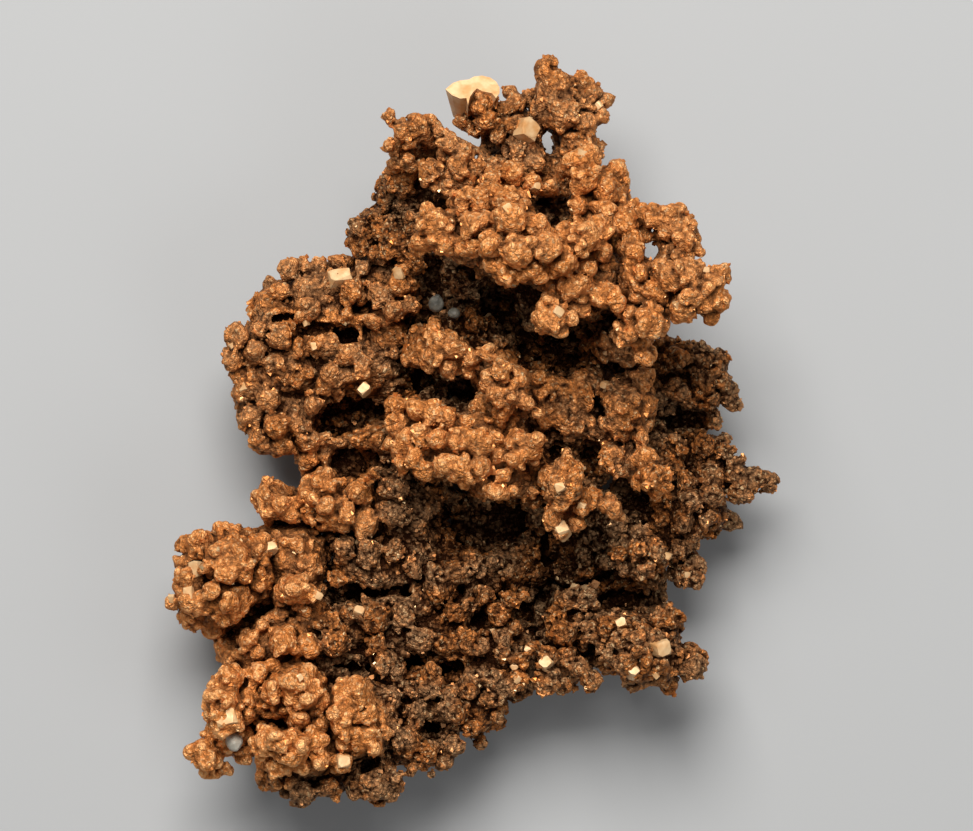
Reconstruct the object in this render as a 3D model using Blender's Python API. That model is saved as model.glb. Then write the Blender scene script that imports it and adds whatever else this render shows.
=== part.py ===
"""Native copper nugget: one spongy, knobbly piece of copper on its back, with three mineral grains in it.

Lengths in the tables are millimetres. X runs to the right and Y up the long way of the nugget, as seen from
above, and Z is the height above the table that it lies on. The origin is on the table, under the middle of
the nugget's box. The copper is one distance field: a core, chambers taken out of it, the knobs that grow on
it and slots between them. The field is turned into one closed mesh and thinned to few triangles.
"""

import math

import bmesh
import bpy
import numpy as np
from mathutils import Euler, Matrix, Vector

MM = 0.001

# The nugget's box: width, length and thickness.
WIDTH, LENGTH, THICKNESS = 62.0, 76.0, 32.4
GRID_STEP = 0.7
GRID_MARGIN = 2.5
COPPER_TRIANGLES = 8600
CREASE = 0.45  # how far a crease between two knobs is rounded
SOCKET_GAP = 0.35  # clearance round a mineral grain in its socket
FOOT_SINK = 0.4  # how far a resting knob would pass through the table before it is worn flat
SEED = 29

# Bulk of the copper, hidden under the knobs: x, y, z, radius.
CORE = [
    # the spine from the crown down to the lower edge
    (9.8, 31.0, 13.0, 2.6), (7.5, 26.0, 13.5, 3.4), (2.5, 24.0, 12.5, 3.9), (2.0, 18.0, 13.0, 5.2),
    (-3.5, 22.5, 12.5, 3.2), (-8.0, 21.0, 9.5, 3.0), (7.5, 16.0, 15.5, 5.0), (4.0, 19.0, 21.5, 4.8),
    (8.5, 17.5, 21.0, 4.6), (-1.0, 20.0, 22.0, 3.4), (2.0, 9.0, 9.5, 6.2), (-3.0, 7.0, 13.0, 4.6),
    (9.0, 3.5, 12.5, 6.0), (1.5, 1.0, 13.0, 5.6), (-4.0, -0.5, 14.0, 5.0), (4.0, -3.5, 13.0, 5.0),
    (12.0, 19.5, 18.0, 4.2), (13.0, 23.5, 18.5, 3.0), (14.5, 10.0, 14.5, 3.8),
    # the right arm with its loop
    (16.5, 15.0, 23.0, 2.6), (20.5, 14.6, 24.0, 2.6), (17.0, 11.0, 22.0, 2.0), (20.5, 20.2, 22.5, 1.8),
    (15.4, 18.8, 22.0, 1.6), (17.3, 20.6, 21.6, 1.3), (13.2, 15.6, 22.6, 1.9),
    # the right flank, further back
    (14.0, 2.0, 14.0, 4.2), (13.0, -3.5, 14.0, 4.0), (9.0, -4.0, 17.5, 2.6), (9.2, -8.6, 17.5, 1.6),
    (17.8, 5.0, 8.0, 4.2), (22.5, 5.0, 8.5, 3.0), (18.5, -2.5, 8.5, 3.6), (23.5, -3.2, 7.5, 3.2),
    (22.5, -8.0, 8.0, 3.6), (27.0, -5.0, 8.5, 1.8), (19.5, -9.0, 9.5, 3.2), (14.5, -9.5, 9.0, 3.6),
    (17.0, -12.5, 12.5, 2.8), (21.3, -13.5, 8.0, 2.0),
    # the left wing
    (-9.5, 14.0, 9.5, 4.6), (-14.5, 12.5, 9.5, 4.6), (-19.0, 11.5, 9.5, 3.8), (-22.0, 8.3, 10.5, 3.2),
    (-16.5, 6.5, 9.0, 4.6), (-10.5, 7.0, 9.5, 4.4), (-20.5, 2.5, 9.5, 3.6), (-19.8, 0.0, 9.5, 2.6),
    (-14.5, -1.5, 8.5, 3.2), (-9.0, -1.0, 9.5, 4.2), (-14.0, 9.5, 10.8, 3.0), (-18.5, 6.5, 10.5, 2.8),
    (-12.5, 6.0, 11.5, 2.6), (-16.0, 13.0, 10.5, 2.8), (-18.5, 1.5, 10.2, 2.6), (-21.0, 5.0, 10.0, 2.6),
    (-8.5, 9.5, 11.5, 2.8),
    # the lower left lobes
    (-13.5, -7.0, 9.5, 4.2), (-19.5, -7.8, 9.5, 2.4), (-18.5, -13.0, 9.5, 4.6), (-24.5, -14.0, 11.5, 4.6),
    (-27.5, -15.5, 11.5, 2.8), (-18.0, -18.5, 10.0, 4.2), (-20.5, -22.0, 11.0, 3.4),
    (-24.2, -27.0, 13.5, 2.8), (-18.5, -27.0, 12.5, 4.4), (-17.5, -32.0, 13.0, 4.0),
    (-11.5, -29.0, 12.0, 4.4), (-10.5, -34.0, 11.0, 2.6), (-25.9, -32.4, 13.5, 1.4),
    # the lower bed and the lower right
    (-6.5, -8.5, 8.0, 5.0), (-9.5, -14.0, 7.5, 5.2), (-3.0, -15.5, 6.5, 5.2), (-8.0, -20.5, 6.8, 5.4),
    (-1.5, -21.5, 6.5, 5.2), (4.0, -13.5, 4.5, 4.4), (3.5, -23.0, 6.5, 4.4), (-5.0, -28.5, 8.0, 4.8),
    (0.0, -27.5, 7.8, 3.8), (-4.8, -32.0, 9.5, 2.6), (9.5, -19.5, 6.5, 4.0), (9.0, -24.0, 7.0, 3.0),
    (10.5, -12.5, 4.2, 4.0), (14.5, -21.0, 9.5, 4.2), (17.5, -22.0, 11.0, 3.8), (21.5, -23.0, 10.0, 1.8),
    (16.5, -16.0, 4.5, 3.6), (4.0, -7.0, 5.0, 4.6), (-15.0, -23.5, 8.5, 3.6), (-24.0, -31.0, 12.0, 2.4),
    (-12.0, -13.5, 9.8, 3.0), (-6.0, -13.0, 9.3, 3.0), (-6.0, -17.5, 9.5, 3.0), (-12.0, -19.5, 9.8, 3.0),
    (-4.0, -20.0, 8.8, 3.0), (0.0, -18.5, 8.0, 2.8), (1.0, -14.5, 7.6, 2.6), (-9.0, -23.5, 9.3, 2.8),
    (-4.0, -27.5, 10.0, 2.8), (0.5, -25.0, 9.0, 3.0), (3.0, -19.5, 7.8, 2.6), (-6.5, -24.5, 9.5, 2.6),
    # under the deepest hollows
    (-12.0, 1.8, 4.6, 3.4), (-6.0, 5.0, 5.5, 3.8), (-4.5, 14.5, 6.0, 4.0), (1.0, -9.5, 3.8, 3.6),
    (-23.5, -19.5, 7.0, 3.0), (-12.5, -3.5, 5.0, 3.0), (8.0, 21.5, 10.0, 3.6), (10.5, 8.5, 8.5, 4.2),
    (21.5, 1.2, 5.0, 3.0), (16.5, -7.0, 7.0, 3.2), (-10.5, -33.0, 8.0, 2.4), (-17.5, 13.5, 6.5, 2.6),
    # behind the upper left spur and the cut stub
    (-5.5, 28.0, 17.2, 2.2), (-3.0, 27.3, 17.0, 2.5), (-6.8, 25.6, 14.5, 2.4), (-1.2, 27.6, 16.5, 1.8),
    (-4.6, 29.9, 18.6, 1.2), (3.6, 29.6, 15.0, 2.4), (1.6, 31.6, 15.0, 1.8), (6.4, 31.0, 14.5, 1.6),
    (2.0, 27.0, 15.5, 2.0), (18.9, 18.3, 20.8, 1.5), (-3.0, -8.5, 6.5, 3.0), (11.5, -22.0, 6.5, 2.6),
    (-9.8, -33.0, 8.5, 2.0), (-23.5, -23.0, 9.5, 2.2), (-16.5, 2.0, 7.5, 2.6), (16.0, -8.5, 5.5, 2.8),
    # down to the resting knobs
    (-19.5, -24.0, 6.5, 3.6), (14.5, -19.5, 5.5, 3.4), (19.5, -3.5, 5.0, 3.2), (-16.5, 9.5, 5.5, 3.6),
    (5.5, 23.0, 7.0, 4.0), (1.0, -1.0, 6.5, 4.6), (-22.5, -26.5, 7.5, 3.4), (-16.5, -25.5, 6.5, 4.2),
    (-18.0, -21.0, 6.5, 4.0), (-18.5, -29.5, 8.0, 3.8), (3.0, 20.5, 7.5, 4.6), (9.0, 26.0, 9.0, 4.0),
    (3.5, 26.0, 9.0, 3.8), (-13.0, 10.0, 6.0, 4.0), (-19.5, 6.5, 6.5, 3.4), (22.5, -5.5, 5.5, 3.4),
    (6.0, -18.0, 4.5, 3.4), (-12.5, -34.0, 9.5, 2.4), (13.0, -17.5, 5.0, 3.0),
]

# Rooms taken out of the core before the knobs go on: x, y, z, radius.
CHAMBERS = [
    (-1.5, 13.2, 17.5, 3.6), (3.2, 11.6, 17.0, 3.4), (7.2, 8.6, 18.5, 2.6), (0.5, -9.5, 13.0, 3.4),
    (3.8, -9.8, 12.0, 3.0), (-12.0, 1.8, 15.0, 2.8), (6.2, -17.5, 9.5, 2.6), (16.6, -7.5, 15.5, 2.2),
    (21.8, 1.4, 11.5, 1.6), (12.5, -6.5, 16.0, 1.8), (10.5, -13.5, 11.0, 3.0), (-3.5, 4.4, 17.0, 1.6),
]

# Knobs, cluster by cluster: x, y, z, radius.
KNOBS = {
    "crown": [
        (7.6, 36.4, 15.5, 1.6), (8.2, 34.0, 16.0, 2.3), (10.7, 33.6, 15.5, 2.1), (13.0, 33.0, 14.5, 1.4),
        (12.7, 31.7, 15.5, 1.2), (9.0, 31.6, 17.0, 2.1), (7.1, 32.5, 16.5, 1.4), (11.2, 30.9, 16.5, 1.6),
        (10.6, 29.2, 15.5, 2.2), (12.1, 28.4, 14.0, 1.2), (5.6, 33.2, 15.0, 1.1), (4.3, 32.9, 15.8, 1.2),
        (3.5, 34.0, 15.0, 0.8), (6.3, 31.2, 15.5, 1.3), (6.1, 29.9, 15.5, 1.1), (-0.4, 30.5, 15.5, 1.0),
        (0.8, 29.8, 16.0, 1.0),
    ],
    "cut_stub": [
        (-0.3, 32.6, 16.8, 1.9), (1.2, 32.8, 17.0, 1.7), (1.6, 31.1, 17.6, 1.3), (-2.6, 31.3, 15.0, 0.7),
        (-1.0, 31.2, 15.6, 1.2), (3.0, 30.5, 17.6, 1.3), (4.4, 30.3, 17.6, 1.5), (4.6, 28.4, 17.5, 1.7),
        (5.9, 26.9, 17.5, 1.6), (3.2, 32.2, 16.2, 1.3),
    ],
    "upper_left_spur": [
        (-8.3, 30.7, 20.5, 0.8), (-8.5, 28.4, 20.5, 1.0), (-6.9, 29.8, 20.8, 1.0), (-5.2, 30.4, 20.5, 1.0),
        (-4.2, 30.9, 19.5, 0.8), (-3.3, 29.7, 20.5, 1.1), (-2.4, 28.4, 21.0, 1.3), (-0.9, 27.6, 21.0, 1.3),
        (-1.6, 26.4, 21.5, 1.4), (0.3, 26.2, 20.5, 1.2), (-6.1, 26.6, 19.5, 1.3), (-4.2, 25.9, 20.5, 1.5),
        (-2.5, 24.2, 20.5, 1.3), (-0.6, 24.8, 20.5, 1.4), (-3.0, 26.8, 18.0, 2.0), (-6.0, 28.4, 18.5, 1.0),
        (1.6, 24.8, 21.0, 1.3), (-7.4, 28.2, 19.0, 1.3), (-5.9, 29.2, 19.5, 1.5), (-7.2, 27.0, 18.0, 1.2),
        (-3.6, 30.4, 19.8, 1.0), (-2.2, 29.2, 20.4, 1.0),
    ],
    "left_shoulder": [
        (-8.1, 24.9, 12.0, 1.8), (-9.0, 22.7, 12.5, 1.4), (-10.2, 22.1, 11.0, 0.9),
        (-11.7, 20.1, 12.0, 1.5), (-11.2, 18.5, 12.5, 1.5), (-9.0, 20.2, 13.0, 1.9),
        (-6.9, 22.6, 13.5, 1.6), (-7.3, 19.0, 13.5, 1.9), (-5.8, 21.0, 15.0, 1.7), (-9.6, 17.5, 13.0, 1.5),
        (-6.2, 16.8, 13.5, 1.4),
    ],
    "front_cluster": [
        (-3.5, 20.6, 26.0, 2.0), (-4.8, 18.9, 25.0, 1.2), (-2.6, 18.6, 26.5, 1.4), (-1.2, 22.5, 26.0, 1.5),
        (0.8, 22.8, 26.5, 1.5), (3.0, 22.6, 27.0, 1.7), (0.4, 20.5, 28.5, 1.7), (3.8, 20.6, 29.5, 2.0),
        (2.0, 18.4, 29.8, 1.6), (4.5, 17.6, 30.5, 1.9), (6.4, 20.0, 29.0, 1.8), (7.2, 18.0, 30.0, 1.9),
        (1.8, 16.2, 29.0, 1.1), (3.2, 15.4, 29.0, 1.3), (5.8, 15.9, 29.5, 1.3), (9.3, 19.5, 27.5, 1.3),
        (10.8, 18.7, 28.0, 1.8), (8.8, 16.3, 29.0, 1.6), (-0.5, 18.2, 27.5, 1.3), (8.0, 10.9, 27.0, 2.3),
        (7.6, 12.9, 26.0, 1.2), (9.4, 14.1, 27.0, 1.4), (10.9, 14.3, 26.5, 1.3), (11.7, 16.0, 27.0, 1.2),
        (12.3, 13.4, 26.0, 1.4), (13.8, 13.3, 26.5, 1.5), (10.5, 12.5, 25.0, 1.2), (13.9, 16.2, 27.0, 1.1),
        (13.0, 17.8, 25.0, 1.1), (12.2, 19.6, 25.5, 1.3),
    ],
    "upper_right_cluster": [
        (10.6, 26.6, 20.5, 1.9), (11.0, 24.8, 21.5, 1.7), (8.8, 25.9, 19.5, 1.1), (6.3, 24.4, 20.5, 0.9),
        (7.6, 24.2, 20.5, 1.0), (4.0, 25.3, 20.0, 1.4), (2.8, 25.2, 19.5, 1.2), (14.3, 25.8, 18.5, 1.6),
        (14.9, 24.1, 18.5, 1.3), (13.0, 23.6, 21.0, 1.6), (10.8, 22.4, 21.5, 1.0), (12.8, 22.0, 22.0, 1.3),
        (9.8, 21.2, 21.5, 1.0), (13.4, 20.9, 22.5, 1.0), (15.9, 22.6, 19.5, 0.9), (14.9, 21.5, 20.5, 1.2),
    ],
    "right_arm": [
        (16.9, 21.4, 22.5, 1.2), (18.2, 21.0, 23.0, 1.5), (19.8, 21.3, 23.0, 1.4), (20.9, 20.2, 23.5, 1.4),
        (21.0, 18.8, 24.5, 1.3), (18.9, 19.6, 23.5, 1.1), (15.9, 18.6, 24.5, 1.3), (15.8, 16.9, 25.0, 1.3),
        (15.2, 20.1, 23.5, 1.2), (16.5, 15.6, 26.0, 1.3), (19.0, 15.3, 26.5, 1.7), (21.3, 15.5, 27.5, 1.9),
        (22.7, 13.9, 26.5, 2.3), (24.2, 15.3, 26.0, 1.5), (23.6, 12.9, 25.0, 1.9), (20.8, 12.6, 25.5, 2.1),
        (18.2, 13.5, 26.0, 1.6), (16.5, 13.8, 25.5, 1.3), (17.3, 11.2, 26.5, 1.7), (15.7, 11.2, 25.5, 1.3),
        (18.8, 10.8, 24.0, 1.4), (15.2, 9.3, 24.5, 1.3), (16.4, 8.6, 23.5, 1.1), (17.1, 7.4, 23.5, 1.2),
        (21.6, 17.3, 24.5, 1.0), (20.4, 17.0, 24.0, 1.0), (19.3, 18.2, 22.0, 1.1), (23.4, 14.8, 28.0, 1.1),
        (21.9, 13.4, 28.3, 1.1), (22.6, 12.3, 27.4, 1.0), (24.3, 13.4, 27.0, 1.1),
    ],
    "right_column": [
        (12.1, 8.6, 21.0, 1.6), (11.2, 7.4, 20.0, 1.5), (13.2, 7.0, 22.0, 1.4), (13.4, 5.8, 22.5, 1.2),
        (12.6, 4.6, 22.8, 0.9), (13.6, 4.5, 22.8, 0.8), (14.6, 3.1, 21.5, 1.2), (13.8, 1.8, 20.5, 1.1),
        (15.4, 6.4, 20.0, 1.3), (8.0, 4.6, 21.5, 1.1), (9.4, 4.8, 21.8, 1.1), (10.9, 4.9, 21.0, 1.0),
        (8.3, 2.0, 21.0, 1.3), (9.8, 2.0, 21.8, 1.4), (11.3, 1.8, 21.0, 1.2), (10.0, 0.4, 20.8, 1.3),
        (11.6, 0.6, 19.8, 1.0), (6.6, 6.6, 18.5, 0.9), (5.5, 5.4, 18.5, 0.9), (5.5, 2.8, 20.5, 1.2),
        (6.4, 1.8, 20.0, 1.1), (4.4, 1.2, 20.0, 0.9), (14.0, -0.5, 22.5, 1.6), (14.2, -2.3, 23.0, 1.8),
        (15.8, -0.8, 20.5, 1.3), (9.4, -3.2, 21.5, 1.4), (8.8, -5.3, 22.0, 2.2), (10.6, -3.8, 20.5, 0.9),
        (7.9, -8.8, 20.5, 1.2), (8.9, -9.9, 20.5, 1.1), (10.7, -7.7, 20.5, 1.0), (10.2, -9.0, 20.0, 0.8),
        (6.2, -9.0, 18.5, 0.7), (12.0, -6.3, 18.5, 1.3), (13.7, -7.1, 18.0, 1.5), (14.6, -8.1, 17.0, 1.1),
        (15.6, -9.8, 17.0, 1.0), (17.8, -4.9, 19.0, 1.9), (17.3, -2.6, 18.0, 1.5), (16.8, -0.6, 16.5, 1.4),
        (17.3, 2.5, 15.0, 1.5), (16.8, 5.0, 15.5, 1.4),
    ],
    "middle_ridge": [
        (-8.8, 8.5, 18.0, 1.0), (-7.8, 9.7, 18.0, 1.0), (-6.9, 8.4, 19.0, 1.5), (-5.7, 10.0, 18.8, 1.2),
        (-4.0, 10.3, 19.0, 1.4), (-3.3, 8.7, 20.2, 1.8), (-4.3, 7.1, 20.0, 1.3), (-1.9, 8.2, 20.5, 1.5),
        (-2.3, 6.2, 19.0, 1.3), (0.0, 7.3, 20.0, 1.4), (1.5, 7.6, 20.0, 1.3), (2.8, 5.9, 21.5, 1.6),
        (1.3, 5.2, 21.0, 1.4), (2.2, 3.8, 21.0, 1.5), (3.7, 3.6, 20.8, 1.3), (4.4, 5.5, 20.2, 1.2),
        (4.7, 7.0, 19.0, 1.2), (0.9, 3.7, 20.0, 1.0), (-0.4, 5.6, 19.0, 1.0), (3.0, 8.9, 17.0, 1.3),
        (3.2, 1.9, 19.5, 1.1),
    ],
    "lower_ridge": [
        (-8.0, 2.5, 18.0, 1.2), (-7.5, 0.6, 18.5, 1.2), (-8.3, -1.2, 17.5, 1.0), (-5.4, 2.2, 20.0, 1.4),
        (-4.0, 1.8, 20.8, 1.4), (-2.5, 1.3, 21.0, 1.4), (-0.8, 1.2, 20.8, 1.2), (-6.5, -0.8, 20.0, 1.3),
        (-4.9, -0.4, 21.0, 1.4), (-3.4, -0.8, 21.8, 1.5), (-1.5, -1.0, 22.0, 1.5), (0.5, -1.5, 21.8, 1.5),
        (-7.2, -3.3, 20.0, 1.3), (-5.8, -2.7, 21.0, 1.2), (-4.8, -3.9, 21.0, 1.2), (-3.0, -3.2, 22.0, 1.4),
        (-1.0, -3.6, 22.0, 1.4), (0.6, -3.4, 21.8, 1.4), (-0.9, -4.8, 21.0, 1.0), (4.5, -0.7, 20.5, 1.3),
        (5.8, -1.8, 20.8, 1.5), (4.3, -2.6, 20.8, 1.4), (6.3, -3.2, 20.0, 1.0), (3.0, -4.4, 20.8, 1.1),
        (2.6, -5.9, 20.5, 1.0), (4.0, -5.8, 20.3, 1.1), (2.4, -2.4, 20.5, 1.3), (-3.2, -7.4, 17.5, 1.1),
        (-4.2, -7.7, 17.0, 0.9), (-2.2, -7.2, 17.0, 0.9), (2.4, -0.6, 20.0, 1.1),
    ],
    "left_wing": [
        (-18.8, 16.2, 11.5, 1.1), (-16.9, 16.5, 11.0, 0.9), (-15.5, 16.6, 11.0, 0.9),
        (-13.4, 16.7, 11.5, 1.1), (-12.5, 17.0, 11.5, 0.9), (-10.8, 16.3, 13.0, 1.3),
        (-13.9, 15.0, 13.0, 1.6), (-19.3, 14.1, 12.5, 1.4), (-20.6, 13.1, 12.0, 1.2),
        (-21.4, 12.2, 11.5, 0.9), (-17.0, 14.3, 12.5, 1.6), (-16.4, 12.2, 14.0, 1.5),
        (-12.0, 13.8, 13.5, 1.8), (-9.5, 13.8, 14.0, 1.9), (-7.4, 14.6, 14.5, 1.7), (-7.3, 16.0, 15.0, 0.9),
        (-6.2, 12.8, 14.5, 1.2), (-12.6, 11.6, 14.0, 1.2), (-10.0, 10.9, 14.5, 1.2),
        (-8.0, 12.0, 15.0, 1.4), (-14.2, 11.7, 13.5, 1.1), (-23.6, 9.4, 13.5, 1.8), (-24.0, 7.3, 13.5, 1.4),
        (-21.5, 10.2, 13.5, 1.3), (-19.5, 9.3, 14.5, 1.5), (-22.0, 7.9, 14.0, 1.5), (-23.5, 5.5, 12.5, 1.3),
        (-20.0, 6.8, 13.5, 1.5), (-17.5, 8.0, 13.5, 1.4), (-15.8, 8.4, 13.5, 1.2), (-12.5, 7.7, 14.5, 1.9),
        (-14.1, 6.0, 14.0, 1.6), (-11.2, 6.2, 15.0, 1.5), (-17.0, 6.0, 13.0, 1.3), (-11.0, 4.4, 15.5, 1.0),
        (-15.0, 4.5, 13.5, 1.2), (-16.2, 2.7, 13.5, 1.2), (-23.4, 3.8, 12.5, 1.2), (-22.2, 1.5, 12.5, 1.6),
        (-20.5, 3.1, 13.0, 1.6), (-21.5, -0.5, 12.0, 1.6), (-21.8, -1.6, 11.5, 0.9),
        (-20.0, 0.6, 13.0, 1.7), (-19.3, -1.2, 12.0, 1.3), (-17.5, 0.5, 12.5, 1.4),
        (-16.4, -1.0, 12.0, 1.6), (-14.0, -0.9, 12.0, 1.5), (-11.6, -0.9, 12.5, 1.4),
        (-16.4, -2.7, 11.0, 1.1), (-13.4, -2.2, 11.5, 1.2), (-9.6, -0.8, 13.5, 1.2), (-9.4, 4.9, 15.5, 1.0),
    ],
    "lower_left_lobes": [
        (-20.9, -5.7, 12.0, 0.9), (-20.2, -7.2, 12.0, 2.2), (-22.1, -7.0, 11.5, 1.0),
        (-18.6, -7.9, 12.5, 1.6), (-15.2, -5.9, 13.5, 2.0), (-15.1, -4.8, 12.5, 1.2),
        (-13.8, -8.0, 13.5, 2.2), (-16.2, -8.1, 13.0, 1.3), (-11.8, -6.0, 13.5, 1.6),
        (-11.0, -9.0, 13.0, 1.6), (-27.4, -11.6, 13.5, 2.2), (-25.3, -9.8, 12.5, 1.2),
        (-24.0, -10.4, 13.0, 1.2), (-24.5, -13.0, 15.0, 3.0), (-28.6, -13.5, 13.0, 1.8),
        (-28.0, -16.2, 14.0, 2.3), (-30.3, -17.1, 12.5, 0.9), (-28.4, -18.4, 12.5, 1.5),
        (-25.0, -16.8, 14.5, 2.8), (-22.0, -12.0, 14.0, 2.0), (-21.6, -14.6, 13.5, 1.9),
        (-29.3, -11.3, 12.0, 1.0), (-20.5, -11.8, 14.0, 1.0), (-26.0, -19.6, 10.0, 1.5),
        (-25.0, -21.8, 9.5, 1.3), (-18.2, -16.2, 15.0, 1.9), (-16.3, -16.5, 14.5, 1.2),
        (-16.9, -18.2, 13.5, 1.1), (-21.3, -19.4, 14.5, 1.0), (-22.5, -20.7, 14.5, 1.3),
        (-19.0, -21.0, 15.0, 1.8), (-16.9, -21.3, 14.0, 1.5), (-21.6, -22.4, 14.0, 1.2),
        (-17.0, -13.4, 12.5, 1.4), (-19.2, -13.0, 13.0, 1.2), (-20.3, -18.6, 13.0, 1.0),
        (-25.8, -12.0, 17.0, 1.2), (-23.3, -12.2, 17.2, 1.1), (-24.6, -14.3, 17.6, 1.2),
        (-22.8, -14.6, 16.4, 1.1), (-26.6, -13.6, 16.6, 1.2), (-26.2, -15.8, 17.0, 1.3),
        (-24.2, -17.0, 17.0, 1.2), (-27.6, -17.2, 15.8, 1.2), (-23.4, -18.6, 15.2, 1.1),
        (-25.8, -18.6, 15.6, 1.1), (-28.6, -15.0, 15.2, 1.1), (-27.0, -10.6, 14.8, 1.1),
        (-28.4, -12.4, 14.4, 1.0), (-20.9, -6.4, 13.8, 1.0), (-19.4, -7.4, 14.2, 1.0),
        (-20.9, -8.2, 13.4, 0.9), (-14.6, -7.2, 15.4, 1.1), (-13.0, -8.6, 15.2, 1.1),
        (-12.8, -7.0, 14.9, 1.0), (-15.6, -5.2, 15.0, 1.0), (-14.2, -5.6, 14.8, 0.9),
        (-16.0, -6.8, 14.8, 1.0),
    ],
    "foot_cluster": [
        (-24.3, -24.9, 16.5, 1.6), (-25.0, -27.0, 16.5, 2.2), (-24.6, -28.5, 17.5, 1.7),
        (-22.6, -26.6, 16.0, 1.2), (-21.7, -24.6, 15.5, 1.2), (-20.2, -23.6, 15.0, 1.1),
        (-19.8, -26.1, 17.0, 1.6), (-17.3, -26.3, 17.5, 2.3), (-19.0, -28.0, 16.5, 1.1),
        (-16.5, -24.4, 16.0, 1.2), (-16.0, -27.6, 16.5, 1.3), (-12.0, -26.2, 17.0, 1.9),
        (-12.8, -27.9, 17.5, 1.5), (-13.2, -29.5, 17.5, 1.4), (-10.8, -28.3, 16.5, 1.5),
        (-10.7, -30.7, 16.5, 1.7), (-13.0, -31.1, 16.5, 1.0), (-20.5, -31.1, 17.5, 1.9),
        (-18.0, -31.5, 18.5, 2.2), (-16.0, -30.9, 18.0, 1.6), (-21.9, -33.0, 16.0, 1.1),
        (-19.5, -33.5, 17.0, 1.6), (-17.1, -33.4, 17.5, 1.4), (-15.5, -32.6, 17.5, 1.4),
        (-13.0, -33.3, 16.5, 1.5), (-20.1, -35.2, 14.0, 1.5), (-17.4, -36.0, 14.0, 1.8),
        (-16.8, -37.2, 12.5, 0.9), (-14.5, -35.8, 14.0, 1.2), (-12.2, -36.1, 13.0, 1.1),
        (-10.0, -35.5, 14.0, 1.7), (-8.3, -35.1, 13.5, 1.3), (-9.7, -36.9, 12.0, 0.9),
        (-27.0, -32.5, 15.0, 1.6), (-25.7, -33.4, 14.5, 1.2), (-26.6, -34.7, 14.0, 0.7),
        (-25.3, -31.0, 14.0, 1.1), (-23.0, -33.0, 12.8, 1.0), (-25.9, -30.0, 14.5, 1.3),
        (-23.0, -30.6, 13.5, 1.2), (-17.9, -25.4, 19.2, 1.1), (-16.5, -26.8, 19.3, 1.1),
        (-18.2, -27.1, 18.9, 1.0), (-18.8, -31.0, 20.2, 1.1), (-17.1, -31.0, 20.3, 1.1),
        (-17.8, -32.4, 20.0, 1.1), (-25.6, -26.2, 18.2, 1.1), (-24.2, -27.0, 18.3, 1.1),
        (-25.8, -27.9, 18.0, 1.0), (-24.0, -31.2, 14.6, 1.4), (-21.0, -29.2, 17.0, 1.3),
        (-17.0, -28.9, 17.6, 1.3), (-15.5, -29.3, 16.6, 1.2), (-22.5, -28.9, 16.0, 1.1),
    ],
    "lower_bed": [
        (-13.0, -12.0, 12.5, 1.5), (-10.4, -12.5, 12.5, 1.5), (-8.0, -12.5, 12.0, 1.4),
        (-6.0, -13.4, 12.0, 1.3), (-9.0, -14.9, 12.0, 1.1), (-13.5, -14.9, 12.5, 1.2),
        (-4.0, -14.5, 11.5, 1.3), (-4.0, -16.6, 11.5, 1.4), (-2.0, -14.0, 11.0, 1.2),
        (-10.0, -19.0, 12.5, 1.9), (-7.0, -18.5, 12.0, 1.7), (-12.5, -18.5, 12.5, 1.3),
        (-13.8, -21.2, 13.0, 1.6), (-9.8, -21.5, 12.5, 1.4), (-5.5, -21.1, 12.0, 1.6),
        (-9.0, -23.0, 12.5, 1.3), (-7.7, -24.3, 12.0, 1.0), (-3.0, -21.5, 11.5, 1.3),
        (-0.8, -21.0, 11.5, 1.3), (-1.8, -18.4, 11.5, 1.3), (-0.7, -17.4, 11.0, 1.2),
        (1.2, -16.9, 11.0, 1.3), (2.5, -18.6, 11.0, 1.2), (3.8, -17.0, 10.5, 1.2), (-5.0, -18.2, 11.5, 1.1),
        (0.5, -13.0, 10.5, 1.2), (2.3, -13.0, 10.5, 1.4), (3.6, -14.1, 10.0, 1.2), (6.3, -13.5, 10.0, 1.3),
        (6.3, -15.0, 9.5, 1.0), (2.6, -11.6, 9.5, 0.9), (-1.0, -15.5, 10.5, 1.0), (3.0, -21.0, 11.0, 1.3),
        (4.6, -20.1, 10.5, 0.9), (1.0, -22.0, 11.5, 1.4), (2.8, -22.7, 11.5, 1.2), (-4.4, -25.6, 12.5, 1.7),
        (-6.1, -26.1, 12.5, 1.3), (-2.8, -26.6, 12.0, 1.5), (0.0, -25.6, 12.0, 1.4),
        (2.2, -25.4, 12.0, 1.7), (-5.5, -28.7, 13.0, 1.6), (-2.0, -28.2, 12.5, 1.7),
        (1.6, -27.0, 11.5, 1.5), (2.2, -28.7, 10.5, 1.1), (0.1, -30.0, 11.0, 1.2), (-6.6, -31.0, 13.5, 1.7),
        (-4.6, -32.5, 13.0, 1.5), (-2.2, -31.5, 12.0, 1.3), (-3.1, -33.2, 11.5, 1.1),
        (-6.0, -34.0, 12.5, 1.3), (-4.2, -34.6, 11.5, 1.0), (0.8, -31.7, 9.0, 1.0), (-7.8, -8.0, 13.5, 1.7),
        (-8.0, -5.4, 15.0, 1.6), (-9.8, -4.2, 15.0, 1.1), (-5.6, -9.8, 12.0, 1.2), (-8.3, -27.0, 13.0, 1.3),
        (-11.5, -23.0, 11.5, 1.2), (-14.9, -19.5, 13.0, 1.1),
    ],
    "lower_right": [
        (9.6, -17.0, 10.5, 1.3), (11.5, -17.0, 11.0, 1.6), (8.4, -18.3, 10.0, 1.0), (7.5, -19.0, 9.8, 0.9),
        (9.3, -20.3, 11.0, 1.5), (10.7, -18.9, 10.5, 1.1), (13.0, -18.9, 11.0, 1.1),
        (5.9, -22.0, 12.0, 1.0), (7.3, -23.4, 12.5, 1.0), (4.9, -23.0, 12.0, 0.9), (4.4, -25.0, 12.0, 1.1),
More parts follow.
